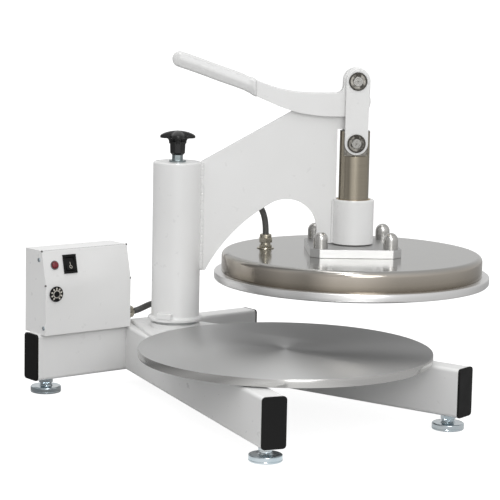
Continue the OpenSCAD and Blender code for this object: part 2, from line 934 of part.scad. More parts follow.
module arm_lead() {
    start = polar(lead_way, guide_turn, lead_in_z);
    rise = polar(lead_way, guide_turn, lead_turn_z - lead_bend);
    corner = polar(lead_way, guide_turn, lead_turn_z);
    round_turn = guide_turn - lead_bend_turn;
    leave = polar(lead_way, lead_leave_turn, lead_turn_z);
    clip = [clip_along, clip_y, clip_z];
    clip_in_point = clip - [clip_w, 0, 0];
    color([0.25, 0.25, 0.26])
        on_arm()
            lead(
                concat(
                    [start, rise],
                    curve([rise, corner, corner, polar(lead_way, round_turn, lead_turn_z)], 6),
                    [
                        for (i = [1 : 5])
                            polar(lead_way, round_turn + (lead_leave_turn - round_turn) * i / 5, lead_turn_z)
                    ],
                    curve(
                        [
                            leave,
                            leave + unit([sin(lead_leave_turn), -cos(lead_leave_turn), 0]) * sleeve_r,
                            clip_in_point - [sleeve_r, 0, 0],
                            clip_in_point
                        ],
                        8
                    ),
                    [clip]
                ),
                lead_r,
                [1, -sqrt(3), 0]
            );
}

module lead_clip() {
    color([0.9, 0.9, 0.9])
        on_arm()
            translate([clip_along - clip_w, clip_y, clip_z])
                along_x(clip_w)
                    difference() {
                        square(clip_w, center = true);
                        circle(lead_r + run_gap);
                    }
}

module knob_nut() {
    color([0.75, 0.77, 0.8])
        on_arm()
            translate([0, 0, sleeve_cap_z + sleeve_cap_t])
                difference() {
                    union() {
                        cylinder(r = knob_washer_r, h = knob_washer_t);
                        cylinder(r = knob_nut_r, h = knob_washer_t + knob_nut_h, $fn = 6);
                    }
                    translate([0, 0, -cut])
                        cylinder(r = knob_stud_r + stud_gap, h = knob_washer_t + knob_nut_h + 2 * cut);
                }
}

module clamp_knob() {
    color([0.06, 0.06, 0.06])
        on_arm()
            difference() {
                union() {
                    translate([0, 0, knob_base_z])
                        rotate_extrude()
                            polygon([
                                [0, 0],
                                [knob_hub_r, 0],
                                [knob_neck_r, knob_hub_h],
                                [knob_neck_r, knob_hub_h + knob_arm_h],
                                [knob_arm, knob_hub_h + knob_arm_h + knob_dome_h],
                                [0, knob_hub_h + knob_arm_h + knob_dome_h]
                            ]);
                    translate([0, 0, knob_arm_z])
                        linear_extrude(height = knob_arm_h) {
                            square([2 * (knob_reach - knob_arm), 2 * knob_arm], center = true);
                            square([2 * knob_arm, 2 * (knob_reach - knob_arm)], center = true);
                            for (a = [0 : 90 : 270])
                                rotate(a)
                                    translate([knob_reach - knob_arm, 0])
                                        circle(knob_arm);
                        }
                }
                translate([0, 0, knob_base_z - cut])
                    cylinder(r = knob_stud_r, h = knob_hub_h / 2 + cut);
            }
}

module knob_stud() {
    color([0.72, 0.74, 0.76])
        on_arm()
            translate([0, 0, post_top + face_gap])
                cylinder(r = knob_stud_r, h = knob_base_z + knob_hub_h / 2 - post_top - face_gap);
}

// outline of the lever about its fulcrum, without the pin holes
module lever_outline() {
    line = [for (q = lever_line_shares) q * lever_len];
    core = [for (q = grip_line_shares) q * lever_len];
    tip = grip_tip_shares * lever_len;
    end_r = grip_half - grip_skin;
    half = end_r * grip_tilt_share;
    polygon(concat(
        [for (q = line) [q[0], q[1] - q[2]]],
        [for (q = core) [q[0], q[1] - half]],
        arc(tip, end_r, 270 - grip_tilt, 90 - grip_tilt, 16),
        [for (i = [len(core) - 1 : -1 : 0]) [core[i][0], core[i][1] + half]],
        [for (i = [len(line) - 1 : -1 : 0]) [line[i][0], line[i][1] + line[i][2]]]
    ));
}

// outline of a lever plate: lower edge, grip core, upper edge, fillet, ear and hub
module lever_plate_outline() {
    line = [for (q = lever_line_shares) q * lever_len];
    core = [for (q = grip_line_shares) q * lever_len];
    end_r = grip_half - grip_skin;
    half = end_r * grip_tilt_share;
    band_top = line[0][1] + line[0][2];
    difference() {
        polygon(concat(
            [for (i = [1 : len(line) - 1]) [line[i][0], line[i][1] - line[i][2]]],
            [for (q = core) [q[0], q[1] - half]],
            arc(grip_tip_shares * lever_len, end_r, 270 - grip_tilt, 90 - grip_tilt, 16),
            [for (i = [len(core) - 1 : -1 : 0]) [core[i][0], core[i][1] + half]],
            [for (i = [len(line) - 1 : -1 : 2]) [line[i][0], line[i][1] + line[i][2]]],
            arc([-ear_r - ear_fillet, band_top + ear_fillet], ear_fillet, -90, 0, 8),
            arc([0, crank], ear_r, 180, 0, 24),
            arc([-hub_back, 0], hub_r, acos((ear_r + hub_back) / hub_r), -90, 16)
        ));
        circle(fulcrum_r);
        translate([0, crank])
            circle(pin_r);
    }
}

module on_pivot() {
    on_arm()
        translate([arm_reach, 0, pivot_z])
            children();
}

module front_lever_plate() {
    color([0.93, 0.93, 0.93])
        on_pivot()
            slab(-lever_out, -lever_in)
                lever_plate_outline();
}

module rear_lever_plate() {
    color([0.93, 0.93, 0.93])
        on_pivot()
            slab(lever_in, lever_out)
                lever_plate_outline();
}

// the bar between the lever plates, which rests on the arm's upper edge
module lever_spacer() {
    gap_up = face_gap / cos(arm_rise);
    corner = [sleeve_r - arm_reach, arm_top_z - pivot_z + gap_up];
    reach_end = -hub_r * 3;
    color([0.92, 0.92, 0.92])
        on_pivot()
            slab(-lever_in, lever_in)
                difference() {
                    lever_outline();
                    polygon([
                        corner,
                        corner + [arm_reach, arm_reach * tan(arm_rise)],
                        corner + [arm_reach, -lever_len]
                    ]);
                    translate([reach_end, -lever_len / 2])
                        square(lever_len);
                }
}

module grip_outline() {
    line = [for (q = grip_line_shares) q * lever_len];
    tip = grip_tip_shares * lever_len;
    half = grip_half * grip_tilt_share;
    polygon(concat(
        [for (q = line) [q[0], q[1] - half]],
        arc(tip, grip_half, 270 - grip_tilt, 90 - grip_tilt, 16),
        [for (i = [len(line) - 1 : -1 : 0]) [line[i][0], line[i][1] + half]]
    ));
}

module hand_grip() {
    color([0.95, 0.95, 0.95])
        on_pivot()
            difference() {
                slab(-lever_out - grip_skin, lever_out + grip_skin)
                    grip_outline();
                slab(-lever_out, lever_out)
                    lever_outline();
            }
}

module fulcrum_pin() {
    color([0.6, 0.6, 0.6])
        on_pivot()
            slab(-lever_out, lever_out)
                circle(fulcrum_r);
}

module crank_pin() {
    color([0.6, 0.6, 0.6])
        on_pivot()
            slab(-lever_out, lever_out)
                translate([0, crank])
                    circle(pin_r);
}

module link_outline(hole_r) {
    difference() {
        union() {
            circle(link_r);
            translate([0, link_len])
                circle(link_r);
            translate([-link_r, 0])
                square([2 * link_r, link_len]);
        }
        circle(hole_r);
        translate([0, link_len])
            circle(pin_r);
    }
}

module front_link() {
    color([0.93, 0.93, 0.93])
        on_ram()
            translate([0, 0, ram_pin_z])
                slab(-link_out, -link_in)
                    link_outline(pin_r + run_gap);
}

module rear_link() {
    color([0.93, 0.93, 0.93])
        on_ram()
            translate([0, 0, ram_pin_z])
                slab(link_in, link_out)
                    link_outline(pin_r + run_gap);
}

// a round pin between two sides
module plain_pin(front, rear) {
    slab(front, rear)
        circle(pin_r);
}

module pin_clips() {
    for (side = [-1, 1]) {
        a = side * clip_in;
        b = side * (clip_in + clip_t);
        slab(min(a, b), max(a, b))
            difference() {
                circle(clip_r);
                circle(pin_r);
                translate([-clip_mouth, 0])
                    square([2 * clip_mouth, 2 * clip_r]);
            }
    }
}

module pin_washers() {
    for (side = [-1, 1]) {
        a = side * washer_in;
        b = side * clip_in;
        slab(min(a, b), max(a, b))
            difference() {
                circle(washer_r);
                circle(pin_r);
            }
    }
}

module crank_pin_ends() {
    color([0.6, 0.58, 0.55])
        on_ram()
            translate([0, 0, crank_pin_z]) {
                plain_pin(-pin_half, -link_in);
                plain_pin(link_in, pin_half);
            }
}

module crank_pin_keepers() {
    color([0.45, 0.43, 0.4])
        on_ram()
            translate([0, 0, crank_pin_z]) {
                pin_washers();
                pin_clips();
            }
}

module ram() {
    color([0.55, 0.52, 0.48])
        on_ram()
            difference() {
                union() {
                    translate([0, 0, mount_top])
                        cylinder(r = ram_r, h = ram_top - mount_top);
                    translate([0, 0, cover_top])
                        cylinder(r = spigot_r, h = ram_top - cover_top);
                }
                for (side = [0, 1])
                    mirror([0, side, 0])
                        translate([-2 * ram_r, tongue, ram_shoulder])
                            cube([4 * ram_r, ram_r, ram_r + ram_top]);
                translate([0, 0, ram_pin_z])
                    slab(-ram_r, ram_r)
                        circle(pin_r);
            }
}

module ram_pin() {
    color([0.6, 0.58, 0.55])
        on_ram()
            translate([0, 0, ram_pin_z])
                plain_pin(-pin_half, pin_half);
}

module ram_pin_keepers() {
    color([0.45, 0.43, 0.4])
        on_ram()
            translate([0, 0, ram_pin_z]) {
                pin_washers();
                pin_clips();
            }
}

module mount_plate() {
    half = mount_half;
    inner = half - mount_chamfer;
    color([0.8, 0.8, 0.8])
        on_ram()
            translate([0, 0, cover_top])
                linear_extrude(height = mount_t)
                    difference() {
                        polygon([
                            [-half, -inner], [-inner, -half], [inner, -half], [half, -inner],
                            [half, inner], [inner, half], [-inner, half], [-half, inner]
                        ]);
                        circle(spigot_r);
                        nut_places()
                            circle(stud_r);
                    }
}

module dome_nuts() {
    color([0.75, 0.75, 0.74])
        on_ram()
            nut_places() {
                translate([0, 0, mount_top])
                    cylinder(r = nut_r, h = nut_barrel);
                translate([0, 0, mount_top + nut_barrel])
                    intersection() {
                        sphere(nut_r);
                        cylinder(r = nut_r, h = nut_r);
                    }
                translate([0, 0, platen_top - stud_depth])
                    cylinder(r = stud_r, h = mount_top + nut_barrel - platen_top + stud_depth);
            }
}

module platen_spacers() {
    color([0.6, 0.6, 0.6])
        on_ram()
            nut_places()
                translate([0, 0, platen_top])
                    ring(spacer_r, stud_r, cover_h - cover_wall);
}

// half section of the cover's outside or inside
module cover_half(r, h, round_r) {
    square([r - round_r, h]);
    square([r, h - round_r]);
    translate([r - round_r, h - round_r])
        circle(round_r);
}

module platen_cover() {
    color([0.68, 0.66, 0.62])
        on_ram()
            translate([0, 0, platen_top])
                difference() {
                    rotate_extrude()
                        difference() {
                            intersection() {
                                cover_half(cover_r, cover_h, cover_round);
                                square([cover_r, cover_h]);
                            }
                            cover_half(cover_r - cover_wall, cover_h - cover_wall, cover_round - cover_wall);
                        }
                    nut_places()
                        cylinder(r = stud_r, h = cover_h + cut);
                    translate([gland_along - arm_reach, gland_behind, 0])
                        cylinder(r = gland_thread_r, h = cover_h + cut);
                }
}

module platen() {
    color([0.78, 0.78, 0.78])
        on_ram()
            translate([0, 0, platen_z])
                difference() {
                    rotate_extrude()
                        polygon([
                            [0, 0],
                            [platen_r - platen_low_chamfer, 0],
                            [platen_r, platen_low_chamfer],
                            [platen_r, platen_t - platen_top_chamfer],
                            [platen_r - platen_top_chamfer, platen_t],
                            [0, platen_t]
                        ]);
                    nut_places()
                        translate([0, 0, platen_t - stud_depth])
                            cylinder(r = stud_r, h = stud_depth + cut);
                }
}

module heater_element() {
    color([0.35, 0.33, 0.32])
        on_ram()
            translate([0, 0, platen_top + heater_r + face_gap])
                rotate_extrude() {
                    translate([heater_in, 0])
                        circle(heater_r);
                    translate([heater_out, 0])
                        circle(heater_r);
                }
}

// a cable gland standing on z = 0
module gland() {
    difference() {
        union() {
            cylinder(r = gland_hex_r, h = gland_hex_h, $fn = 6);
            cylinder(r = gland_nut_r, h = gland_len);
            translate([0, 0, -gland_thread_h])
                cylinder(r = gland_thread_r, h = gland_thread_h + gland_hex_h);
        }
        translate([0, 0, -gland_thread_h - cut])
            cylinder(r = lead_r + run_gap, h = gland_thread_h + gland_len + 2 * cut);
    }
}

module platen_gland() {
    color([0.66, 0.62, 0.52])
        on_arm()
            translate([gland_along, gland_behind, cover_top])
                gland();
}

module platen_lead() {
    start = [clip_along + face_gap, clip_y, clip_z];
    first = start + [face_gap, 0, 0];
    end = [gland_along, gland_behind, cover_top];
    top = end + [0, 0, gland_len];
    color([0.25, 0.25, 0.26])
        on_arm()
            lead(
                concat(
                    [start, first],
                    curve([first, first + [clip_w, 0, 0], top + [0, 0, 2 * clip_w], top], 10),
                    [end]
                ),
                lead_r,
                [0, 1, 0]
            );
}

module box_gland() {
    color([0.66, 0.62, 0.52])
        translate([-box_right, gland_y, tube_top + gland_up])
            rotate([0, 90, 0])
                gland();
}

module box_lead() {
    turn = guide_turn + rest_swing - 90;
    end = [lead_way * cos(turn), arm_reach + lead_way * sin(turn), lead_in_z];
    out = [cos(turn), sin(turn), 0];
    mouth = [-box_right, gland_y, tube_top + gland_up];
    first = mouth + [gland_len, 0, 0];
    last = end + out * (lead_r + face_gap);
    color([0.25, 0.25, 0.26])
        lead(
            concat(
                [mouth],
                [first],
                curve([first, first + [4 * lead_r, 0, 0], last + out * 4 * lead_r, last], 8)
            ),
            lead_r,
            [0, 0, 1]
        );
}

// side outline of the control box, y to the right and z up
module box_side(inset) {
    polygon([
        [box_front + inset, tube_top - inset],
        [box_front + inset, tube_top + box_bend],
        [box_front + box_lean + inset, box_top - inset],
        [box_back + inset, box_top - inset],
        [box_back + inset, tube_top - inset]
    ]);
}

// the sloping upper front of the box: x from its left side, y up the slope from the bend, z outward
module on_slope() {
    translate([box_left, box_front, tube_top + box_bend])
        rotate([90 - box_slope, 0, 0])
            children();
}

module control_box_cover() {
    color([0.93, 0.93, 0.93])
        difference() {
            translate([box_left, 0, 0])
                along_x(box_w)
                    box_side(0);
            translate([box_left + sheet_t, 0, 0])
                along_x(box_w - 2 * sheet_t)
                    box_side(sheet_t);
            on_slope() {
                translate([switch_x, switch_up, -cut * 2])
                    linear_extrude(height = 4 * cut)
                        square([switch_w - 2 * switch_border, switch_h - 2 * switch_border], center = true);
                translate([lamp_x, switch_up, -cut * 2])
                    cylinder(r = lamp_r, h = 4 * cut);
            }
            translate([box_left + dial_x, box_front - cut, tube_top + dial_z])
                rotate([-90, 0, 0])
                    cylinder(r = spindle_r + stud_gap, h = 3 * cut);
            translate([-box_right - 2 * cut, gland_y, tube_top + gland_up])
                rotate([0, 90, 0])
                    cylinder(r = gland_thread_r, h = 3 * cut);
            cover_screw_places()
                translate([0, 0, -screw_len])
                    cylinder(r = screw_thread_r, h = screw_len + cut);
        }
}

// places of the cover screws on both sides of the box, z outward
module cover_screw_places() {
    for (q = [[box_front + box_d / 10, tube_top + box_h / 12], [box_front + box_d / 3, box_top - box_h / 9]]) {
        translate([box_left, q[0], q[1]])
            rotate([0, -90, 0])
                children();
        translate([-box_right, q[0], q[1]])
            rotate([0, 90, 0])
                children();
    }
}

module control_box_chassis() {
    w = box_w - 2 * sheet_t - 2 * sheet_gap;
    d = box_d - sheet_t - sheet_gap;
    h = box_h - sheet_t - sheet_gap;
    color([0.85, 0.85, 0.85])
        translate([box_left + sheet_t + sheet_gap, box_front + sheet_t + sheet_gap, tube_top]) {
            cube([w, d, sheet_t]);
            translate([0, d - sheet_t, 0])
                cube([w, sheet_t, h]);
        }
}

module cover_screws() {
    color([0.75, 0.77, 0.8])
        cover_screw_places() {
            cylinder(r = screw_r, h = screw_h);
            translate([0, 0, -screw_len])
                cylinder(r = screw_thread_r, h = screw_len);
        }
}

module switch_housing() {
    color([0.07, 0.07, 0.07])
        on_slope()
            translate([switch_x, switch_up, 0])
                difference() {
                    union() {
                        linear_extrude(height = switch_rim)
                            square([switch_w, switch_h], center = true);
                        translate([0, 0, -switch_deep])
                            linear_extrude(height = switch_deep)
                                square(
                                    [switch_w - 2 * switch_border, switch_h - 2 * switch_border],
                                    center = true
                                );
                    }
                    translate([0, 0, -switch_deep / 3])
                        linear_extrude(height = switch_deep)
                            square(
                                [switch_w - switch_well, switch_h - switch_well],
                                center = true
                            );
                    rocker_pin(rocker_pin_r + run_gap, rocker_pin_in + face_gap);
                }
}

// the rocker's pivot pin across the switch, with its reach into each wall
module rocker_pin(r, reach) {
    half = (switch_w - switch_well) / 2 + reach;
    translate([-half, 0, 0])
        rotate([0, 90, 0])
            cylinder(r = r, h = 2 * half);
}

module switch_rocker() {
    w = switch_w - switch_well - 2 * face_gap;
    half = (switch_h - switch_well) / 2 - 4 * face_gap;
    low = switch_rim - rocker_rise;
    color([0.1, 0.1, 0.1])
        on_slope()
            translate([switch_x, switch_up, 0]) {
                translate([-w / 2, 0, 0])
                    along_x(w)
                        polygon([
                            [-half, switch_rim + rocker_rise],
                            [0, switch_rim],
                            [half, low],
                            [half, low - rocker_rise / 2],
                            [0, -rocker_rise],
                            [-half, switch_rim - rocker_rise / 2]
                        ]);
                rocker_pin(rocker_pin_r, rocker_pin_in);
            }
}

module pilot_lamp_bezel() {
    color([0.2, 0.2, 0.2])
        on_slope()
            translate([lamp_x, switch_up, 0])
                ring(lamp_bezel_r, lamp_r, lamp_bezel_t);
}

module pilot_lamp_lens() {
    color([0.5, 0.05, 0.08])
        on_slope()
            translate([lamp_x, switch_up, -lamp_deep])
                rotate_extrude()
                    polygon([
                        [0, 0],
                        [lamp_r, 0],
                        [lamp_r, lamp_deep + lamp_h * lamp_shoulder_share],
                        [lamp_r * lamp_edge_r_share, lamp_deep + lamp_h * lamp_edge_share],
                        [lamp_r * lamp_crown_r_share, lamp_deep + lamp_h],
                        [0, lamp_deep + lamp_h]
                    ]);
}

module on_dial() {
    translate([box_left + dial_x, box_front, tube_top + dial_z])
        rotate([90, 0, 0])
            children();
}

module thermostat() {
    color([0.5, 0.5, 0.5])
        on_dial()
            difference() {
                translate([0, 0, -sheet_t - thermostat_d])
                    cylinder(r = thermostat_r, h = thermostat_d);
                translate([0, 0, -sheet_t - thermostat_d / 2])
                    cylinder(r = spindle_r + run_gap, h = thermostat_d);
            }
}

module thermostat_knob() {
    color([0.06, 0.06, 0.06])
        on_dial() {
            translate([0, 0, face_gap]) {
                cylinder(r = dial_r, h = dial_h);
                cylinder(r = dial_boss_r, h = dial_h + dial_boss_h);
            }
            translate([0, 0, -sheet_t - thermostat_d / 3])
                cylinder(r = spindle_r, h = sheet_t + thermostat_d / 3 + dial_h);
        }
}

rear_bar();
left_leg();
right_leg();
end_caps();
foot_inserts();
front_left_foot();
front_right_foot();
rear_left_foot();
rear_right_foot();
lower_platter();
platter_pads();
platter_bolts();
post_plate();
swing_post();
thrust_washer();
control_box_chassis();
control_box_cover();
cover_screws();
switch_housing();
switch_rocker();
pilot_lamp_bezel();
pilot_lamp_lens();
thermostat();
thermostat_knob();
box_gland();
box_lead();
swing_sleeve();
sleeve_cap();
sleeve_bushes();
swing_stop();
arm_plate();
ram_collar();
collar_bushes();
lead_guide();
arm_lead();
lead_clip();
knob_nut();
clamp_knob();
knob_stud();
front_lever_plate();
rear_lever_plate();
lever_spacer();
hand_grip();
fulcrum_pin();
crank_pin();
front_link();
rear_link();
crank_pin_ends();
crank_pin_keepers();
ram();
ram_pin();
ram_pin_keepers();
mount_plate();
dome_nuts();
platen_spacers();
platen_cover();
platen();
heater_element();
platen_gland();
platen_lead();
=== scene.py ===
import math

import bmesh
import bpy
from mathutils import Matrix, Quaternion, Vector
from mathutils.geometry import interpolate_bezier


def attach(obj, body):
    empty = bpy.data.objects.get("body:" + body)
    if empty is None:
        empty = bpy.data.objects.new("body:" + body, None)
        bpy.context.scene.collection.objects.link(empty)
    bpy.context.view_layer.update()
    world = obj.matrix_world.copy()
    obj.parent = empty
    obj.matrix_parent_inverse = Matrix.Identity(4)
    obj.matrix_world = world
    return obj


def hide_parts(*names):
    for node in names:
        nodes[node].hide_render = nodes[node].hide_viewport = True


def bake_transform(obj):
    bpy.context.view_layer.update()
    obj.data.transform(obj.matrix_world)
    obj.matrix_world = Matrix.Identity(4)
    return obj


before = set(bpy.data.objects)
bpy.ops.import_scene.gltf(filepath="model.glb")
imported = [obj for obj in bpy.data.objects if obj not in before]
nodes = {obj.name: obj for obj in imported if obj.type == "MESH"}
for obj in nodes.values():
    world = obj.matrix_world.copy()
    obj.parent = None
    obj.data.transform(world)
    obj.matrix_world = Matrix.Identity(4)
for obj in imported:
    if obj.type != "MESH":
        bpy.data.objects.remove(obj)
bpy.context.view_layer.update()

scene = bpy.context.scene
scene.view_settings.view_transform = "Standard"


# Bench top: a plain pale sheet under the press, white to the lens and matt to the
# lamps; bright metal sees it lit in front and darker to the sides of the lens.
lens_bearing = 231
bench_half_width = 60
bench_drop = 0.0003


def bearing_ramp(tree, place, *stops):
    """Grey values by compass bearing, in degrees left or right of the lens."""
    turn = tree.nodes.new("ShaderNodeMapping")
    turn.inputs["Rotation"].default_value = (0, 0, math.radians(-lens_bearing))
    tree.links.new(place, turn.inputs["Vector"])
    sweep = tree.nodes.new("ShaderNodeTexGradient")
    sweep.gradient_type = "RADIAL"
    tree.links.new(turn.outputs["Vector"], sweep.inputs["Vector"])
    ramp = tree.nodes.new("ShaderNodeValToRGB")
    while len(ramp.color_ramp.elements) < len(stops):
        ramp.color_ramp.elements.new(0.5)
    for mark, (bearing, grey) in zip(ramp.color_ramp.elements, stops):
        mark.position = 0.5 + bearing / 360
        mark.color = (grey, grey, grey, 1)
    tree.links.new(sweep.outputs["Color"], ramp.inputs[0])
    return ramp.outputs["Color"]


def bench_finish():
    made = bpy.data.materials.new("pale_bench")
    made.use_nodes = True
    tree = made.node_tree
    tree.nodes.clear()
    link = tree.links.new
    out = tree.nodes.new("ShaderNodeOutputMaterial")
    seen = tree.nodes.new("ShaderNodeLightPath")
    matt = tree.nodes.new("ShaderNodeBsdfDiffuse")
    matt.inputs["Color"].default_value = (0.42, 0.42, 0.42, 1)
    mirrored = tree.nodes.new("ShaderNodeEmission")
    place = tree.nodes.new("ShaderNodeTexCoord").outputs["Object"]
    lit = bearing_ramp(
        tree, place,
        (-180, 0.6), (-105, 0.22), (-65, 0.5), (-40, 0.4), (-14, 1.0),
        (10, 1.06), (45, 0.66), (100, 0.62), (140, 0.42), (180, 0.6),
    )
    link(lit, mirrored.inputs["Color"])
    shadow = tree.nodes.new("ShaderNodeBsdfDiffuse")
    shadow.inputs["Color"].default_value = (0.28, 0.28, 0.28, 1)
    glow = tree.nodes.new("ShaderNodeEmission")
    glow.inputs["Color"].default_value = (0.90, 0.90, 0.90, 1)
    white = tree.nodes.new("ShaderNodeAddShader")
    link(shadow.outputs[0], white.inputs[0])
    link(glow.outputs[0], white.inputs[1])
    by_metal = tree.nodes.new("ShaderNodeMixShader")
    link(seen.outputs["Is Glossy Ray"], by_metal.inputs[0])
    link(matt.outputs[0], by_metal.inputs[1])
    link(mirrored.outputs[0], by_metal.inputs[2])
    by_lens = tree.nodes.new("ShaderNodeMixShader")
    link(seen.outputs["Is Camera Ray"], by_lens.inputs[0])
    link(by_metal.outputs[0], by_lens.inputs[1])
    link(white.outputs[0], by_lens.inputs[2])
    link(by_lens.outputs[0], out.inputs["Surface"])
    return made


bench_mesh = bpy.data.meshes.new("bench")
bench_form = bmesh.new()
bmesh.ops.create_grid(bench_form, x_segments=1, y_segments=1, size=bench_half_width)
bmesh.ops.translate(bench_form, verts=bench_form.verts, vec=(0, 0, -bench_drop))
bench_form.to_mesh(bench_mesh)
bench = bpy.data.objects.new("bench", bench_mesh)
bench_mesh.materials.append(bench_finish())
scene.collection.objects.link(bench)

# Studio light: a soft overhead sky that darkens towards the horizon, with soft
# boxes before and over the press, and two cards that only bright metal mirrors.
sky = bpy.data.worlds.new("studio_sky")
scene.world = sky
sky.use_nodes = True
sky_tree = sky.node_tree
sky_way = sky_tree.nodes.new("ShaderNodeTexCoord")
sky_split = sky_tree.nodes.new("ShaderNodeSeparateXYZ")
sky_ramp = sky_tree.nodes.new("ShaderNodeValToRGB")
for mark, (height, grey) in zip(sky_ramp.color_ramp.elements, ((0.0, 0.45), (0.75, 0.86))):
    mark.position = height
    mark.color = (grey, grey, grey, 1)
sky_tree.links.new(sky_way.outputs["Generated"], sky_split.inputs[0])
sky_tree.links.new(sky_split.outputs["Z"], sky_ramp.inputs[0])
sky_seen = sky_tree.nodes.new("ShaderNodeLightPath")
sky_lift = sky_tree.nodes.new("ShaderNodeMix")
sky_lift.data_type = "RGBA"
sky_lit = bearing_ramp(
    sky_tree, sky_way.outputs["Generated"],
    (-180, 0.51), (-150, 0.62), (-105, 0.14), (-65, 0.42), (-42, 0.31),
    (-16, 0.61), (50, 0.58), (100, 0.48), (150, 0.45), (180, 0.51),
)
sky_tree.links.new(sky_lit, sky_lift.inputs["B"])
sky_tree.links.new(sky_seen.outputs["Is Glossy Ray"], sky_lift.inputs["Factor"])
sky_tree.links.new(sky_ramp.outputs[0], sky_lift.inputs["A"])
sky_tree.links.new(sky_lift.outputs["Result"], sky_tree.nodes["Background"].inputs["Color"])
sky_strength = 1.365
sky_tree.nodes["Background"].inputs["Strength"].default_value = sky_strength


def soft_box(name, stand, aim, width, height, power, lights_paint=True):
    lamp = bpy.data.lights.new(name, "AREA")
    lamp.shape = "RECTANGLE"
    lamp.size, lamp.size_y, lamp.energy = width, height, power
    held = bpy.data.objects.new(name, lamp)
    held.location = stand
    held.rotation_mode = "QUATERNION"
    held.rotation_quaternion = (Vector(aim) - Vector(stand)).to_track_quat("-Z", "Y")
    held.visible_diffuse = lights_paint
    scene.collection.objects.link(held)


soft_box("key_soft_box", (-1.2, -2.7, 1.7), (0, 0.1, 0.25), 1.4, 1.4, 23)
soft_box("top_soft_box", (0.1, 0.3, 2.8), (0, 0.1, 0.2), 0.7, 0.7, 5.4)
soft_box("fan_card", (-0.95, -1.17, 2.6), (0, 0, 0.1), 0.3, 0.3, 28, lights_paint=False)
soft_box("white_card", (-1.6, -2.95, 0.8), (0.1, 0.1, 0.2), 1.2, 1.0, 8, lights_paint=False)

# Camera: it stands in front of the press on the operator's left, a little above
# it, with a long lens and a slight roll.
lens = bpy.data.cameras.new("photo_camera")
lens.sensor_width, lens.lens = 36.0, 143.14
lens.clip_start, lens.clip_end = 0.05, 200
camera = bpy.data.objects.new("photo_camera", lens)
camera.location = (-1.9134, -2.3453, 0.7096)
aim_point = Vector((-0.05595, 0.02258, 0.27005))
camera_roll = Quaternion((0, 0, 1), math.radians(1.17))
sight = aim_point - camera.location
camera.rotation_mode = "QUATERNION"
camera.rotation_quaternion = sight.to_track_quat("-Z", "Y") @ camera_roll
scene.collection.objects.link(camera)
scene.camera = camera

# Where the moving parts stand: the arm's own frame runs from the post axis to
# the ram axis, and sizes written in millimetres are turned to metres by MM.
MM = 0.001
post_back = 0.292
arm_reach = 0.292
arm_turn = math.radians(-35)
on_arm = Matrix.Translation((0, post_back, 0)) @ Matrix.Rotation(arm_turn, 4, "Z")
on_ram = on_arm @ Matrix.Translation((arm_reach, 0, 0))


# Electric leads: round dark grey sheathed cable, 10.4 mm thick, from the control
# box to the arm, around the sleeve to a clip, and down to the heated platen.
lead_thick = 0.0104
sleeve_wrap = 45.2


def start_finish(name, metallic=0.0):
    made = bpy.data.materials.new(name)
    made.use_nodes = True
    tree = made.node_tree
    shader = tree.nodes["Principled BSDF"]
    shader.inputs["Metallic"].default_value = metallic
    place = tree.nodes.new("ShaderNodeTexCoord")
    return made, tree, shader, place.outputs["Object"]


def stretched(tree, place, scale):
    turn = tree.nodes.new("ShaderNodeMapping")
    turn.inputs["Scale"].default_value = scale
    tree.links.new(place, turn.inputs["Vector"])
    return turn.outputs["Vector"]


def grain(tree, place, scale, detail):
    noise = tree.nodes.new("ShaderNodeTexNoise")
    noise.inputs["Scale"].default_value = scale
    noise.inputs["Detail"].default_value = detail
    noise.inputs["Roughness"].default_value = 0.55
    tree.links.new(place, noise.inputs["Vector"])
    return noise.outputs["Fac"]


def tint(tree, shader, pattern, *stops):
    ramp = tree.nodes.new("ShaderNodeValToRGB")
    bar = ramp.color_ramp
    while len(bar.elements) < len(stops):
        bar.elements.new(0.5)
    for mark, (where, colour) in zip(bar.elements, stops):
        mark.position = where
        mark.color = (*colour, 1)
    tree.links.new(pattern, ramp.inputs[0])
    tree.links.new(ramp.outputs[0], shader.inputs["Base Color"])


def gloss(tree, shader, pattern, low, high):
    span = tree.nodes.new("ShaderNodeMapRange")
    span.inputs["From Min"].default_value = 0.3
    span.inputs["From Max"].default_value = 0.7
    span.inputs["To Min"].default_value = low
    span.inputs["To Max"].default_value = high
    tree.links.new(pattern, span.inputs["Value"])
    tree.links.new(span.outputs[0], shader.inputs["Roughness"])


def relief(tree, shader, pattern, depth, strength):
    bump = tree.nodes.new("ShaderNodeBump")
    bump.inputs["Distance"].default_value = depth
    bump.inputs["Strength"].default_value = strength
    tree.links.new(pattern, bump.inputs["Height"])
    tree.links.new(bump.outputs[0], shader.inputs["Normal"])


def sheath_finish():
    made, tree, shader, place = start_finish("grey_sheath")
    streak = grain(tree, place, 240, 4)
    tint(tree, shader, streak, (0.3, (0.072, 0.072, 0.069)), (0.7, (0.108, 0.107, 0.103)))
    gloss(tree, shader, streak, 0.38, 0.52)
    shader.inputs["Specular IOR Level"].default_value = 0.35
    relief(tree, shader, grain(tree, place, 1800, 2), 0.00008, 0.5)
    return made


grey_sheath = sheath_finish()


def place_piece(piece, body, finish, slot, *stands_for):
    piece.data.materials.clear()
    piece.data.materials.append(finish)
    if piece.name not in scene.collection.objects:
        scene.collection.objects.link(piece)
    if body:
        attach(piece, body)
    if stands_for:
        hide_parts(*stands_for)
    return piece


def lead_piece(name, route):
    line = bpy.data.curves.new(name + "_line", "CURVE")
    line.dimensions = "3D"
    line.bevel_depth, line.bevel_resolution = lead_thick / 2, 5
    line.use_fill_caps = True
    spline = line.splines.new("POLY")
    spline.points.add(len(route) - 1)
    for point, spot in zip(spline.points, route):
        point.co = (*spot, 1)
    held = bpy.data.objects.new(name + "_line", line)
    scene.collection.objects.link(held)
    ready = held.evaluated_get(bpy.context.evaluated_depsgraph_get())
    mesh = bpy.data.meshes.new_from_object(ready)
    mesh.name = name
    mesh.shade_smooth()
    bpy.data.objects.remove(held)
    bpy.data.curves.remove(line)
    return bpy.data.objects.new(name, mesh)


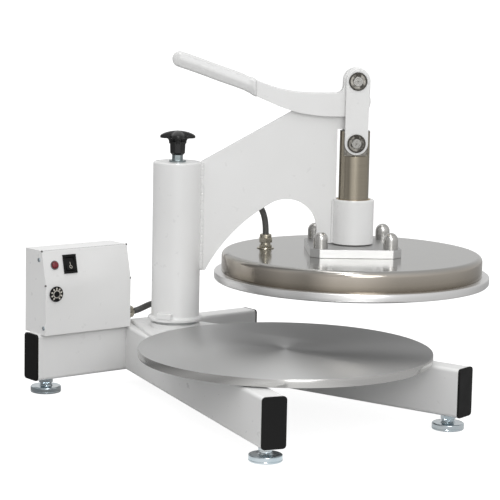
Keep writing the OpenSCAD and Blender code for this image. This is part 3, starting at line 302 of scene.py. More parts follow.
def spots(matrix, *points):
    return [matrix @ (Vector(p) * MM) for p in points]


def around(turn, z):
    """A point on the lead's way around the sleeve, in millimetres from the post."""
    return (sleeve_wrap * math.cos(math.radians(turn)), sleeve_wrap * math.sin(math.radians(turn)), z)


here = Matrix.Identity(4)
mouth, first, out_1, out_2, last = spots(
    here,
    (-52, 378.8, 118), (-28, 378.8, 118), (-7.2, 378.8, 118), (-2.50, 363.46, 134), (-1.77, 342.67, 134),
)
box_route = [mouth, mouth.lerp(first, 0.5)] + interpolate_bezier(first, out_1, out_2, last, 20)
box_lead = place_piece(lead_piece("box_lead_sheath", box_route), None, grey_sheath, "lead_grey", "box_lead")
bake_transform(box_lead)

rise, corner, turned, leave = spots(
    on_arm, around(127, 176), around(127, 190), around(110, 190), around(80, 190)
)
leave_way, clip_way, clip_in, clip_end = spots(
    on_arm, (46.95, 37.61, 190), (71.3, 13.5, 309), (111, 13.5, 309), (126, 13.5, 309)
)
arm_route = spots(on_arm, around(127, 134)) + interpolate_bezier(rise, corner, corner, turned, 12)
arm_route += spots(on_arm, *[around(110 - 5 * i, 190) for i in range(1, 6)])
arm_route += interpolate_bezier(leave, leave_way, clip_way, clip_in, 24) + [clip_end]
place_piece(lead_piece("arm_lead_sheath", arm_route), "swing_arm", grey_sheath, "lead_grey", "arm_lead")

start, first, out_1, out_2, top, end = spots(
    on_arm,
    (126.3, 13.5, 309), (126.6, 13.5, 309), (141.6, 13.5, 309),
    (150, 33, 285.9), (150, 33, 255.9), (150, 33, 231.9),
)
platen_route = [start] + interpolate_bezier(first, out_1, out_2, top, 24) + [top.lerp(end, 0.5), end]
platen_lead = place_piece(
    lead_piece("platen_lead_sheath", platen_route), None, grey_sheath, "lead_grey", "platen_lead"
)
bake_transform(platen_lead)


# Base frame: a rear bar and two splayed legs of welded rectangular steel tube,
# 76 x 38 mm, powder coated glossy white with a faint orange peel.
def powder_finish():
    made, tree, shader, place = start_finish("white_powder_coat")
    cloud = grain(tree, place, 7, 2)
    tint(tree, shader, cloud, (0.3, (0.765, 0.765, 0.758)), (0.7, (0.81, 0.81, 0.806)))
    gloss(tree, shader, grain(tree, place, 60, 3), 0.27, 0.36)
    relief(tree, shader, grain(tree, place, 520, 1.5), 0.00012, 0.35)
    shader.inputs["Coat Weight"].default_value = 0.25
    shader.inputs["Coat Roughness"].default_value = 0.12
    return made


white_powder_coat = powder_finish()


def coat(finish, *names):
    for name in names:
        nodes[name].data.materials.clear()
        nodes[name].data.materials.append(finish)


coat(white_powder_coat, "rear_bar", "left_leg", "right_leg")


# Weld beads where the legs butt against the rear bar and where the arm meets
# its sleeve and collar: low rippled strips under the same white coat.
def tidy_form(form):
    bmesh.ops.remove_doubles(form, verts=form.verts, dist=1e-7)
    bmesh.ops.recalc_face_normals(form, faces=form.faces)


def join_form(target, part, where):
    bmesh.ops.transform(part, matrix=where, verts=part.verts)
    tidy_form(part)
    spare = bpy.data.meshes.new("part")
    part.to_mesh(spare)
    part.free()
    target.from_mesh(spare)
    bpy.data.meshes.remove(spare)


def rise_of(edge):
    return abs(edge.verts[0].co.z - edge.verts[1].co.z)


def bead(target, foot, head, radius):
    """A weld bead: a strip whose ripples are 2.4 mm apart on a slower wave."""
    run = head - foot
    ring_gap, ripple, wave = 0.0016, 2600, 900
    strip = bmesh.new()
    bmesh.ops.create_cone(
        strip, cap_ends=True, segments=10, radius1=radius, radius2=radius, depth=run.length
    )
    long_edges = [e for e in strip.edges if rise_of(e) > run.length / 2]
    bmesh.ops.subdivide_edges(strip, edges=long_edges, cuts=int(run.length / ring_gap), use_grid_fill=True)
    for v in strip.verts:
        swell = 1 + 0.10 * math.sin(v.co.z * ripple) + 0.05 * math.sin(v.co.z * wave + 1)
        v.co.x *= swell
        v.co.y *= swell
    turn = run.to_track_quat("Z", "Y").to_matrix().to_4x4()
    join_form(target, strip, Matrix.Translation((foot + head) / 2) @ turn)


def form_piece(name, form, body, finish, slot, *stands_for, sharp=32, even=True):
    mesh = bpy.data.meshes.new(name)
    form.to_mesh(mesh)
    form.free()
    mesh.shade_smooth()
    mesh.set_sharp_from_angle(angle=math.radians(sharp))
    piece = bpy.data.objects.new(name, mesh)
    if even:
        weigh = piece.modifiers.new("even_faces", "WEIGHTED_NORMAL")
        weigh.keep_sharp = True
    return place_piece(piece, body, finish, slot, *stands_for)


leg_welds = bmesh.new()
bar_front = 359.2
for side in (-1, 1):
    for corner in (47.3, 11.0):
        low_end = Vector((side * corner, bar_front, 30)) * MM
        high_end = Vector((side * corner, bar_front, 92)) * MM
        bead(leg_welds, low_end, high_end, 2.0 * MM)
form_piece("leg_welds", leg_welds, "base", white_powder_coat, "powder_white")


# Tube end caps: black moulded plastic plugs with rounded corners and a soft
# outer edge, pushed into the four open tube ends.
def black_finish(name, depth, shine):
    made, tree, shader, place = start_finish(name)
    fine = grain(tree, place, 900, 2)
    tint(tree, shader, fine, (0.3, (0.7 * depth,) * 3), (0.7, (1.3 * depth,) * 3))
    gloss(tree, shader, grain(tree, place, 45, 2), 0.62 - shine, 0.74 - shine)
    shader.inputs["Specular IOR Level"].default_value = shine
    relief(tree, shader, fine, 0.00006, 0.6)
    return made


black_moulding = black_finish("black_moulding", 0.007, 0.16)
on_leg = Matrix.Translation((0.1872, -0.2093, 0)) @ Matrix.Rotation(math.radians(105.15), 4, "Z")
mirror_x = Matrix.Scale(-1, 4, (1, 0, 0))
on_bar = Matrix.Translation((-0.2275, 0.3788, 0))
tube_ends = {"fr": on_leg, "fl": mirror_x @ on_leg, "rl": on_bar, "rr": mirror_x @ on_bar}


def sharp_edges(form, angle):
    form.edges.ensure_lookup_table()
    return [e for e in form.edges if len(e.link_faces) == 2 and e.calc_face_angle() > math.radians(angle)]


def soften(form, edges, width, segments=3):
    bmesh.ops.bevel(
        form, geom=edges, offset=width, offset_type="OFFSET", segments=segments, profile=0.5,
        affect="EDGES", clamp_overlap=True, material=-1,
    )


def block(form, middle, size, turn=here):
    """A box by its middle and its three sizes, in millimetres."""
    scale = Matrix.Diagonal((*(side * MM for side in size), 1))
    place = Matrix.Translation([part * MM for part in middle])
    bmesh.ops.create_cube(form, size=1, matrix=place @ turn @ scale)


cap_all = bmesh.new()
tube_middle = 61.3
for where in tube_ends.values():
    one = bmesh.new()
    block(one, (1.8, 0, tube_middle), (3.6, 38.5, 76.6))
    soften(one, [e for e in one.edges if abs((e.verts[0].co - e.verts[1].co).x) > 1e-6], 5.5 * MM, 6)
    front = [e for e in one.edges if all(abs(v.co.x) < 1e-7 for v in e.verts)]
    soften(one, front, 1.1 * MM, 3)
    block(one, (7.5, 0, tube_middle), (10, 31, 69))
    join_form(cap_all, one, where)
form_piece("tube_end_caps", cap_all, "base", black_moulding, "black_plastic", "end_caps")


# Levelling feet: turned steel cups on threaded studs with a lock nut, bright
# zinc plated with a bluish tone; each screws into an insert in its tube.
def zinc_finish(name, *stops):
    made, tree, shader, place = start_finish(name, metallic=1.0)
    cloud = grain(tree, place, 28, 2)
    tint(tree, shader, cloud, *zip((0.32, 0.55, 0.72), stops))
    gloss(tree, shader, grain(tree, place, 120, 2), 0.12, 0.19)
    return made


blue_zinc = zinc_finish("blue_zinc", (0.50, 0.585, 0.63), (0.62, 0.68, 0.715), (0.70, 0.725, 0.715))
foot_inset = 0.030


def spun(form, profile, steps, closed=False):
    """A turned body: the profile is radius and height pairs in millimetres."""
    verts = [form.verts.new((r * MM, 0, z * MM)) for r, z in profile]
    edges = [form.edges.new(pair) for pair in zip(verts, verts[1:])]
    if closed:
        edges.append(form.edges.new((verts[-1], verts[0])))
    bmesh.ops.spin(
        form, geom=verts + edges, cent=(0, 0, 0), axis=(0, 0, 1), angle=math.tau,
        steps=steps, use_merge=True,
    )
    bmesh.ops.remove_doubles(form, verts=form.verts, dist=1e-7)


def hexagon(form, radius, low, high, lean):
    made = bmesh.ops.create_cone(
        form, cap_ends=True, segments=6, radius1=radius * MM, radius2=radius * MM, depth=(high - low) * MM
    )
    bmesh.ops.translate(form, verts=made["verts"], vec=(0, 0, (low + high) / 2 * MM))
    rims = {e for v in made["verts"] for e in v.link_edges}
    soften(form, [e for e in rims if rise_of(e) < 1e-9], lean * MM, 2)


foot_profile = [
    (0, 0), (22.6, 0), (24.2, 0.5), (25, 1.6), (25, 2.6), (24.6, 3.1), (24.6, 3.5),
    (24.9, 3.9), (24.9, 8.7), (24.5, 9.7), (23.6, 10.3), (22.6, 10.5), (21.8, 10.2),
    (13.2, 10.2), (11.4, 10.9), (10.2, 12.6), (9.5, 13.2), (9.5, 15.7), (0, 15.7),
]
thread_profile = [(0, 22.7)] + [(5.2 if i % 2 else 6.0, 22.7 + 0.9 * i) for i in range(40)] + [(0, 58)]
foot_names = {
    "fl": "front_left_foot", "fr": "front_right_foot", "rl": "rear_left_foot", "rr": "rear_right_foot",
}
for end_name, node_name in foot_names.items():
    foot = bmesh.new()
    for profile in (foot_profile, thread_profile):
        part = bmesh.new()
        spun(part, profile, 48)
        join_form(foot, part, here)
    nut = bmesh.new()
    hexagon(nut, 11.5, 15.7, 22.7, 0.9)
    join_form(foot, nut, here)
    under_tube = tube_ends[end_name] @ Matrix.Translation((foot_inset, 0, 0))
    bmesh.ops.transform(foot, matrix=under_tube, verts=foot.verts)
    bmesh.ops.recalc_face_normals(foot, faces=foot.faces)
    body = "foot_" + end_name
    form_piece(node_name + "_turned", foot, body, blue_zinc, "zinc_steel", node_name, sharp=25)
coat(blue_zinc, "foot_inserts", "platter_bolts")


# Lower platter: a 457 mm aluminium disc, faced on a lathe, so its fine rings
# throw fan-shaped highlights; it lies on four rubber pads bolted to the legs.
def turned_finish(name, centre, stops, low, high, spread):
    made, tree, shader, place = start_finish(name, metallic=1.0)
    shift = tree.nodes.new("ShaderNodeVectorMath")
    shift.operation = "SUBTRACT"
    shift.inputs[1].default_value = centre
    tree.links.new(place, shift.inputs[0])
    flat = tree.nodes.new("ShaderNodeVectorMath")
    flat.operation = "MULTIPLY"
    flat.inputs[1].default_value = (1, 1, 0)
    tree.links.new(shift.outputs[0], flat.inputs[0])
    length = tree.nodes.new("ShaderNodeVectorMath")
    length.operation = "LENGTH"
    tree.links.new(flat.outputs[0], length.inputs[0])
    rings = tree.nodes.new("ShaderNodeTexNoise")
    rings.noise_dimensions = "1D"
    rings.inputs["Scale"].default_value = 620
    rings.inputs["Detail"].default_value = 2
    tree.links.new(length.outputs["Value"], rings.inputs["W"])
    tint(tree, shader, rings.outputs["Fac"], *stops)
    gloss(tree, shader, rings.outputs["Fac"], low, high)
    around_axis = tree.nodes.new("ShaderNodeTangent")
    around_axis.direction_type, around_axis.axis = "RADIAL", "Z"
    tree.links.new(around_axis.outputs[0], shader.inputs["Tangent"])
    shader.inputs["Anisotropic"].default_value = spread
    shader.inputs["Anisotropic Rotation"].default_value = 0.25
    return made


platter_axis = (0, 0, 0)
turned_platter = turned_finish(
    "lathe_turned_platter", platter_axis,
    ((0.3, (0.525, 0.53, 0.53)), (0.7, (0.575, 0.575, 0.57))), 0.36, 0.42, 0.64,
)
bright_rim = turned_finish(
    "bright_turned_rim", platter_axis,
    ((0.3, (0.52, 0.516, 0.504)), (0.7, (0.59, 0.586, 0.574))), 0.20, 0.27, 0.3,
)
platter = bmesh.new()
spun(
    platter,
    [
        (0, 101.4), (227.6, 101.4), (228.3, 101.7), (228.6, 102.4),
        (228.6, 113.1), (228.3, 113.8), (227.6, 114.1), (0, 114.1),
    ],
    256,
)
tidy_form(platter)
platter_disc = form_piece(
    "turned_platter", platter, "base", turned_platter, "platter_metal", "lower_platter", even=False
)
platter_disc.data.materials.append(bright_rim)
for face in platter_disc.data.polygons:
    if abs(face.normal.z) < 0.9:
        face.material_index = 1


def rubber_finish():
    made, tree, shader, place = start_finish("pad_rubber_black")
    fine = grain(tree, place, 600, 3)
    tint(tree, shader, fine, (0.3, (0.018, 0.018, 0.018)), (0.7, (0.035, 0.034, 0.033)))
    gloss(tree, shader, fine, 0.7, 0.85)
    relief(tree, shader, fine, 0.0001, 0.5)
    return made


coat(rubber_finish(), "platter_pads")


# Post: a flanged plate welded over legs and bar, with the hardened pivot post
# standing in it and a zinc plated thrust washer that carries the swinging sleeve.
def make_whole(form):
    """Merges a solid's loose triangles and joins those that lie in one plane."""
    same_point, same_plane = 2e-6, math.radians(0.3)
    bmesh.ops.remove_doubles(form, verts=form.verts, dist=same_point)
    bmesh.ops.dissolve_limit(form, angle_limit=same_plane, verts=form.verts, edges=form.edges)


def softened(node, body, finish, slot, width, segments=3, angle=40):
    """A copy of a solid with its sharp edges rounded, which stands for it."""
    form = bmesh.new()
    form.from_mesh(nodes[node].data)
    make_whole(form)
    soften(form, sharp_edges(form, angle), width * MM, segments)
    return form_piece(node + "_finished", form, body, finish, slot, node)


softened("post_plate", "base", white_powder_coat, "powder_white", 0.9)


def steel_finish():
    made, tree, shader, place = start_finish("ground_nickel", metallic=1.0)
    lines = grain(tree, stretched(tree, place, (14, 14, 1600)), 1.0, 2)
    tint(tree, shader, lines, (0.25, (0.325, 0.291, 0.232)), (0.75, (0.37, 0.332, 0.267)))
    gloss(tree, shader, lines, 0.16, 0.21)
    return made


ground_nickel = steel_finish()


def bronze_finish():
    made, tree, shader, place = start_finish("bearing_bronze", metallic=1.0)
    cloud = grain(tree, place, 120, 3)
    tint(tree, shader, cloud, (0.3, (0.38, 0.27, 0.13)), (0.7, (0.52, 0.40, 0.22)))
    gloss(tree, shader, cloud, 0.34, 0.48)
    return made


bearing_bronze = bronze_finish()
coat(ground_nickel, "swing_post", "thermostat")
coat(bearing_bronze, "sleeve_bushes", "collar_bushes")


def washer_finish():
    made, tree, shader, place = start_finish("dull_zinc", metallic=0.3)
    cloud = grain(tree, place, 60, 2)
    tint(tree, shader, cloud, (0.3, (0.56, 0.575, 0.58)), (0.7, (0.66, 0.67, 0.675)))
    gloss(tree, shader, cloud, 0.5, 0.62)
    return made


coat(washer_finish(), "thrust_washer")

# Control box: a folded sheet steel cover with a leaning upper front, screwed to a chassis on the rear bar;
# white powder coat, with painted shade as a dark strip along the seam at its top edge and dark balls in the
# notches at its corners.
softened("control_box_cover", "base", white_powder_coat, "powder_white", 1.1, 3)
coat(white_powder_coat, "control_box_chassis")
front_lean = 13.16
slope_foot = Matrix.Translation((-0.218, 0.3478, 0.1814))
on_slope = slope_foot @ Matrix.Rotation(math.radians(90 - front_lean), 4, "X")


# Dark grey: painted shade for the box seam, corner notches and screw recesses, and the pilot lamp bezel's
# own dark colour.
def shadow_finish():
    made, tree, shader, place = start_finish("seam_shade_and_dark_bezel")
    fine = grain(tree, place, 400, 2)
    tint(tree, shader, fine, (0.3, (0.10, 0.10, 0.10)), (0.7, (0.17, 0.17, 0.165)))
    gloss(tree, shader, fine, 0.6, 0.8)
    return made


seam_shade_and_dark_bezel = shadow_finish()
# Painted shade: a dark strip where the seam at the cover's top edge opens, and dark balls in the notches at
# the bend and top corners.
seam_shade_strip = bmesh.new()
block(seam_shade_strip, (-135, 361.25, 236.55), (163, 0.9, 1.1))
notch_shade_radius = 1.8 * MM
bend_corners = spots(here, (-217.8, 348.7, 181.4), (-52.2, 348.7, 181.4))
top_corners = spots(here, (-217.5, 361.0, 236.4), (-52.5, 361.0, 236.4))
for spot in bend_corners + top_corners:
    bmesh.ops.create_icosphere(seam_shade_strip, subdivisions=2, radius=notch_shade_radius, matrix=Matrix.Translation(spot))
form_piece("box_seam_and_notch_shade", seam_shade_strip, "base", seam_shade_and_dark_bezel, "powder_white")

# Cover screws: zinc plated steel pan heads with a cross recess, two driven into
# each side of the cover to hold it on its chassis.
screw_all = bmesh.new()
recess_shade_all = bmesh.new()
for y, z in ((354.0, 110.87), (368.47, 221.71)):
    for x, turn in ((-218, -90), (-52, 90)):
        where = Matrix.Translation(Vector((x, y, z)) * MM) @ Matrix.Rotation(math.radians(turn), 4, "Y")
        head = bmesh.new()
        spun(head, [(0, 0), (3.6, 0), (3.6, 0.6), (3.2, 1.2), (2.2, 1.65), (0, 1.8)], 32)
        join_form(screw_all, head, where)
        # Painted shade: each cross recess is two dark bars set into the head, standing in for the shade
        # inside it.
        for roll in (20, 110):
            bar = bmesh.new()
            block(bar, (0, 0, 1.6), (3.4, 0.7, 0.42), Matrix.Rotation(math.radians(roll), 4, "Z"))
            join_form(recess_shade_all, bar, where)
form_piece("cover_screw_heads", screw_all, "base", blue_zinc, "zinc_steel", "cover_screws")
form_piece("cover_screw_recess_shade", recess_shade_all, "base", seam_shade_and_dark_bezel, "zinc_steel")

# Rocker switch: black moulded frame snapped into the sloping panel, a rocker on
# a pivot pin, and the plain off ring and on stroke printed in white.
softened("switch_housing", "base", black_moulding, "black_plastic", 0.6)
softened("switch_rocker", "rocker", black_moulding, "black_plastic", 0.35, 2)


def print_finish():
    made, tree, shader, place = start_finish("pale_print")
    fine = grain(tree, place, 700, 2)
    tint(tree, shader, fine, (0.3, (0.56, 0.53, 0.47)), (0.7, (0.68, 0.65, 0.59)))
    gloss(tree, shader, fine, 0.45, 0.6)
    return made


pale_print = print_finish()
marks = bmesh.new()
on_rocker = on_slope @ Matrix.Translation((0.050, 0.0325, 0))
face_tilt = Matrix.Rotation(math.radians(-12.3), 4, "X")
face_low = on_rocker @ Matrix.Translation((0, -0.0050, 0.00305)) @ face_tilt
ring = bmesh.new()
spun(ring, [(2.0, 0), (2.7, 0), (2.7, 0.12), (2.0, 0.12)], 32, closed=True)
join_form(marks, ring, face_low)
stroke = bmesh.new()
block(stroke, (0, 5.7, 0.06), (0.8, 5.0, 0.12))
join_form(marks, stroke, face_low)
form_piece("switch_marks", marks, "rocker", pale_print, "black_plastic")


# Pilot lamp: a small moulded red lens in a dark bezel, pushed into a hole in the
# sloping panel beside the switch.
def lens_finish():
    made, tree, shader, place = start_finish("red_lens_glass")
    rings = grain(tree, place, 260, 2)
    tint(tree, shader, rings, (0.3, (0.11, 0.004, 0.009)), (0.7, (0.22, 0.009, 0.018)))
    gloss(tree, shader, rings, 0.16, 0.26)
    shader.inputs["Coat Weight"].default_value = 0.2
    relief(tree, shader, grain(tree, place, 800, 1), 0.0001, 0.5)
    return made


lamp = bmesh.new()
spun(lamp, [(0, -16), (6, -16), (6, 2.4), (5.7, 3.3), (4.9, 4.2), (3.6, 4.8), (1.8, 5.0), (0, 5.0)], 48)
lens_form = bmesh.new()
join_form(lens_form, lamp, on_slope @ Matrix.Translation((0.021, 0.0325, 0)))
form_piece("lamp_lens", lens_form, "base", lens_finish(), "red_lens", "pilot_lamp_lens")
softened("pilot_lamp_bezel", "base", seam_shade_and_dark_bezel, "black_plastic", 0.3)

# Thermostat dial: a flat black moulded disc on a spindle, with a cream printed
# ring of scale marks around a dark centre boss.
dial = bmesh.new()
on_dial = Matrix.Translation((-0.1985, 0.3478, 0.1669)) @ Matrix.Rotation(math.radians(90), 4, "X")
disc = bmesh.new()
spun(
    disc,
    [
        (0, 0.3), (12.2, 0.3), (12.6, 0.7), (12.6, 2.0), (12.2, 2.4), (11.6, 2.5), (5.0, 2.5),
        (4.7, 2.6), (4.5, 3.0), (4.5, 4.5), (4.1, 5.0), (2.4, 5.0), (2.1, 4.3), (0, 4.3),
    ],
    64,
)
join_form(dial, disc, on_dial)
shaft = bmesh.new()
spun(shaft, [(0, -9.5), (3, -9.5), (3, 0.3), (0, 0.3)], 32)
join_form(dial, shaft, on_dial)
form_piece("dial_disc", dial, "dial", black_moulding, "black_plastic", "thermostat_knob")
strokes = bmesh.new()
scale_start, scale_step = 234, 36
for i in range(9):
    turn = Matrix.Rotation(math.radians(scale_start - scale_step * i), 4, "Z")
    for out, wide, long in ((8.9, 2.6, 3.0), (11.5, 0.7, 1.0)):
        mark = bmesh.new()
        block(mark, (out, 0, 2.53), (long, wide, 0.1))
        soften(mark, [e for e in mark.edges if rise_of(e) > 5e-5], 0.3 * MM * wide, 3)
        join_form(strokes, mark, on_dial @ turn)
collar_mark = bmesh.new()
spun(collar_mark, [(5.1, 2.48), (6.6, 2.48), (6.6, 2.58), (5.1, 2.58)], 48, closed=True)
join_form(strokes, collar_mark, on_dial)
form_piece("dial_strokes", strokes, "dial", pale_print, "black_plastic")


# Cable glands: nickel plated brass, a hexagon on the panel and a taller clamp
# nut with a round collar that closes on the sheath of the lead.
def brass_finish():
    made, tree, shader, place = start_finish("nickel_brass_plate", metallic=1.0)
    cloud = grain(tree, place, 140, 3)
    tint(tree, shader, cloud, (0.3, (0.42, 0.385, 0.31)), (0.7, (0.54, 0.505, 0.43)))
    gloss(tree, shader, cloud, 0.20, 0.34)
    return made


nickel_brass = brass_finish()


def gland_piece(name, where, body, node):
    whole = bmesh.new()
    base = bmesh.new()
    hexagon(base, 11.6, 1.2, 6.4, 0.8)
    hexagon(base, 12.2, 10.0, 18.2, 1.1)
    join_form(whole, base, where)
    for profile in (
        [(5.3, -8), (8, -8), (8, 0.2), (14.2, 0.2), (14.6, 0.6), (14.2, 1.3), (5.3, 1.3)],
        [(5.3, 6.0), (8.3, 6.0), (8.3, 10.4), (5.3, 10.4)],
        [
            (5.3, 17.8), (9.6, 17.8), (9.9, 18.4), (9.9, 22.6),
            (9.3, 23.6), (8.4, 24), (6.0, 24), (5.3, 23.2),
        ],
    ):
        part = bmesh.new()
        spun(part, profile, 48, closed=True)
        join_form(whole, part, where)
    return form_piece(name, whole, body, nickel_brass, "nickel_brass", node)


on_box_side = Matrix.Translation((-0.052, 0.3788, 0.118)) @ Matrix.Rotation(math.radians(90), 4, "Y")
gland_piece("box_gland_turned", on_box_side, "base", "box_gland")
on_cover = on_arm @ Matrix.Translation((0.150, 0.033, 0.2319))
gland_piece("platen_gland_turned", on_cover, "ram", "platen_gland")

# Swing sleeve: a thick white tube that turns on the post, with a foot flange, a
# welded cap, a small stop tab and a guide for the lead behind it.
sleeve = bmesh.new()
spun(
    sleeve,
    [
        (34.7, 116.2), (44.2, 116.2), (45.1, 116.6), (45.4, 117.4), (45.4, 120.2), (45.0, 121.2),
        (44.0, 121.7), (42.4, 121.7), (41.0, 122.1), (40.1, 123.0), (39.7, 124.4), (39.7, 376.2),
        (39.4, 377.5), (38.6, 378.5), (37.4, 378.9), (34.7, 378.9),
    ],
    128, closed=True,
)
bmesh.ops.transform(sleeve, matrix=on_arm, verts=sleeve.verts)
tidy_form(sleeve)
form_piece("sleeve_tube", sleeve, "swing_arm", white_powder_coat, "powder_white", "swing_sleeve")
softened("sleeve_cap", "swing_arm", white_powder_coat, "powder_white", 0.4)
softened("swing_stop", "swing_arm", white_powder_coat, "powder_white", 3.0, 5)
softened("lead_guide", "swing_arm", white_powder_coat, "powder_white", 0.8)
softened("lead_clip", "swing_arm", white_powder_coat, "powder_white", 0.8)

# Clamp knob: a black moulded four-arm hand knob on a plated stud, with a nut and
# washer under it, that locks the sleeve on the post.
knob = bmesh.new()
hub = bmesh.new()
spun(hub, [(0, 390.2), (10.2, 390.2), (13.2, 393.4), (13.9, 412), (0, 412)], 8)
soften(hub, [e for e in hub.edges if rise_of(e) > 1e-4], 1.3 * MM, 2)
half_facet = math.radians(22.5)
join_form(knob, hub, on_arm @ Matrix.Rotation(half_facet, 4, "Z"))
head = bmesh.new()
spun(
    head,
    [
        (0, 429.7), (6, 429.5), (12, 428.7), (18, 427.2), (23, 425.4), (26.5, 423.6),
        (28.4, 422.2), (29, 420.8), (29, 418.7), (28.5, 417.8), (27.4, 417.5), (20, 417.2),
        (16.4, 416.0), (14.8, 413.4), (14.2, 408.5), (0, 408.5),
    ],
    96,
)
valley_share = 0.62
for v in head.verts:
    lobe = abs(math.cos(2 * math.atan2(v.co.y, v.co.x))) ** 1.6
    reach = valley_share + (1 - valley_share) * lobe
    v.co.x *= reach
    v.co.y *= reach
join_form(knob, head, on_arm)
glossy_black = black_finish("glossy_black", 0.012, 0.38)
form_piece("knob_moulding", knob, "knob", glossy_black, "black_plastic", "clamp_knob")
# A darker copy of the zinc finish: painted shade on the stud and nut under the knob.
zinc_in_knob_shade = zinc_finish("zinc_in_knob_shade", (0.27, 0.315, 0.325), (0.33, 0.365, 0.37), (0.37, 0.39, 0.38))
coat(zinc_in_knob_shade, "knob_stud")
softened("knob_nut", "swing_arm", zinc_in_knob_shade, "zinc_steel", 0.5, 2)

# Arm plate and ram collar: 12 mm flame cut plate with an arch under it, welded
# to the sleeve at one end and to a thick tube that guides the ram at the other.
softened("arm_plate", "swing_arm", white_powder_coat, "powder_white", 1.0, 3, angle=50)
collar = bmesh.new()
spun(
    collar,
    [
        (28, 247.4), (33.2, 247.4), (34.1, 247.8), (34.5, 248.7), (34.5, 318.6),
        (34.2, 319.9), (33.4, 320.7), (32.3, 321), (29.0, 321), (28, 320),
    ],
    96, closed=True,
)
bmesh.ops.transform(collar, matrix=on_ram, verts=collar.verts)
tidy_form(collar)
form_piece("collar_tube", collar, "swing_arm", white_powder_coat, "powder_white", "ram_collar")
arm_welds = bmesh.new()
for side in (-1, 1):
    at_sleeve = spots(on_arm, (40.6, side * 7.314, 202), (40.6, side * 7.314, 377))
    bead(arm_welds, *at_sleeve, 3.6 * MM)
    at_collar = spots(on_ram, (-34.6, side * 6.9, 249), (-34.6, side * 6.9, 319))
    bead(arm_welds, *at_collar, 2.2 * MM)
form_piece("arm_welds", arm_welds, "swing_arm", white_powder_coat, "powder_white")

# Lever: two white plates with ears for the crank pin, a packing strip between
# them that rests on the arm, and a white vinyl grip dipped over the end.
for name in ("front_lever_plate", "rear_lever_plate"):
    softened(name, "lever", white_powder_coat, "powder_white", 1.0, 3, angle=50)
softened("lever_spacer", "lever", white_powder_coat, "powder_white", 0.6, 2, angle=50)


def vinyl_finish():
    made, tree, shader, place = start_finish("dipped_vinyl")
    cloud = grain(tree, place, 18, 2)
    tint(tree, shader, cloud, (0.3, (0.70, 0.70, 0.695)), (0.7, (0.74, 0.74, 0.736)))
    gloss(tree, shader, cloud, 0.22, 0.32)
    relief(tree, shader, grain(tree, place, 60, 1), 0.00006, 0.2)
    return made


off_arm = on_arm.inverted()


def grip_piece():
    """The dipped skin is crowned on its sides and swells to a rim at its mouth."""
    form = bmesh.new()
    form.from_mesh(nodes["hand_grip"].data)
    bmesh.ops.transform(form, matrix=off_arm, verts=form.verts)
    make_whole(form)
    hair = 1e-5
    rim_reach = 12 * MM
    rim_start = 2 * MM
    rim_slope = 0.45
    mouth = max(v.co.x for v in form.verts)
    side = max(v.co.y for v in form.verts)
    middle = [v.co.z for v in form.verts if mouth - v.co.x < hair]
    level = (min(middle) + max(middle)) / 2
    rims = [e for e in sharp_edges(form, 50) if all(abs(v.co.y) > side - hair for v in e.verts)]
    soften(form, [e for e in rims if min(v.co.x for v in e.verts) < mouth - hair], 4.6 * MM, 6)
    for inset, reflection_band_height in ((3.4, 1.0), (2.8, 0.4)):
        sideways = [f for f in form.faces if abs(f.normal.y) > 0.999]
        flat = [f for f in sideways if abs(f.calc_center_median().y) > side - hair]
        bmesh.ops.inset_individual(
            form, faces=flat, thickness=inset * MM, depth=reflection_band_height * MM, use_even_offset=False
        )
        side += reflection_band_height * MM
    for step in (2, 4, 6, 8):
        everything = form.verts[:] + form.edges[:] + form.faces[:]
        cut = (mouth - step * MM, 0, 0)
        bmesh.ops.bisect_plane(form, geom=everything, dist=1e-7, plane_co=cut, plane_no=(1, 0, 0))
    for v in form.verts:
        back = mouth - v.co.x
        if back < rim_reach - rim_start:
            swell = 1 + 0.10 * math.sin(math.pi * (back + rim_start) / rim_reach)
            centre = level + rim_slope * back
            v.co.y *= swell
            v.co.z = centre + (v.co.z - centre) * swell
    bmesh.ops.transform(form, matrix=on_arm, verts=form.verts)
    tidy_form(form)
    form_piece(
        "hand_grip_dipped", form, "lever", vinyl_finish(), "grip_white", "hand_grip", sharp=55, even=False
    )


grip_piece()


# Links and pins: white round-ended links on both sides, held on plated pins by
# dark washers and spring clips.
def pin_finish(name, patch, *stops):
    made, tree, shader, place = start_finish(name, metallic=1.0)
    cloud = grain(tree, place, patch, 2)
    tint(tree, shader, cloud, (0.36, stops[0]), (0.62, stops[1]))
    gloss(tree, shader, cloud, 0.24, 0.34)
    return made


bright_pin = pin_finish("bright_pin", 260, (0.27, 0.265, 0.252), (0.335, 0.329, 0.314))
spring_clip = pin_finish("spring_clip", 120, (0.045, 0.0426, 0.0385), (0.27, 0.258, 0.234))
dark_washer = pin_finish("dark_washer", 260, (0.035, 0.0328, 0.029), (0.06, 0.0563, 0.05))


clip_start = 27.45 * MM


def keeper_piece(node, body):
    """The washers lie against the links, and the spring clips outside them."""
    piece = softened(node, body, dark_washer, "pin_steel", 0.25, 2)
    piece.data.materials.append(spring_clip)
    for face in piece.data.polygons:
        if abs((off_arm @ face.center).y) > clip_start:
            face.material_index = 1


for name in ("front_link", "rear_link"):
    softened(name, "links", white_powder_coat, "powder_white", 1.5, 4, angle=50)


def pin_piece(node, body, height, inner):
    """A turned pin with a grooved end face and a centre mark on both sides."""
    whole = bmesh.new()
    on_pin = on_ram @ Matrix.Translation((0, 0, height * MM))
    for turn in (90, -90):
        part = bmesh.new()
        spun(
            part,
            [
                (0, inner), (8, inner), (8, 29.8), (7.3, 30.7), (5.9, 30.7), (5.6, 30.35), (5.1, 30.35),
                (4.8, 30.7), (3.6, 30.7), (3.3, 30.45), (2.9, 30.45), (2.6, 30.7), (1.6, 30.7),
                (0.5, 29.7), (0, 29.7),
            ],
            48,
        )
        join_form(whole, part, on_pin @ Matrix.Rotation(math.radians(turn), 4, "X"))
    form_piece(node + "_turned", whole, body, bright_pin, "pin_steel", node)


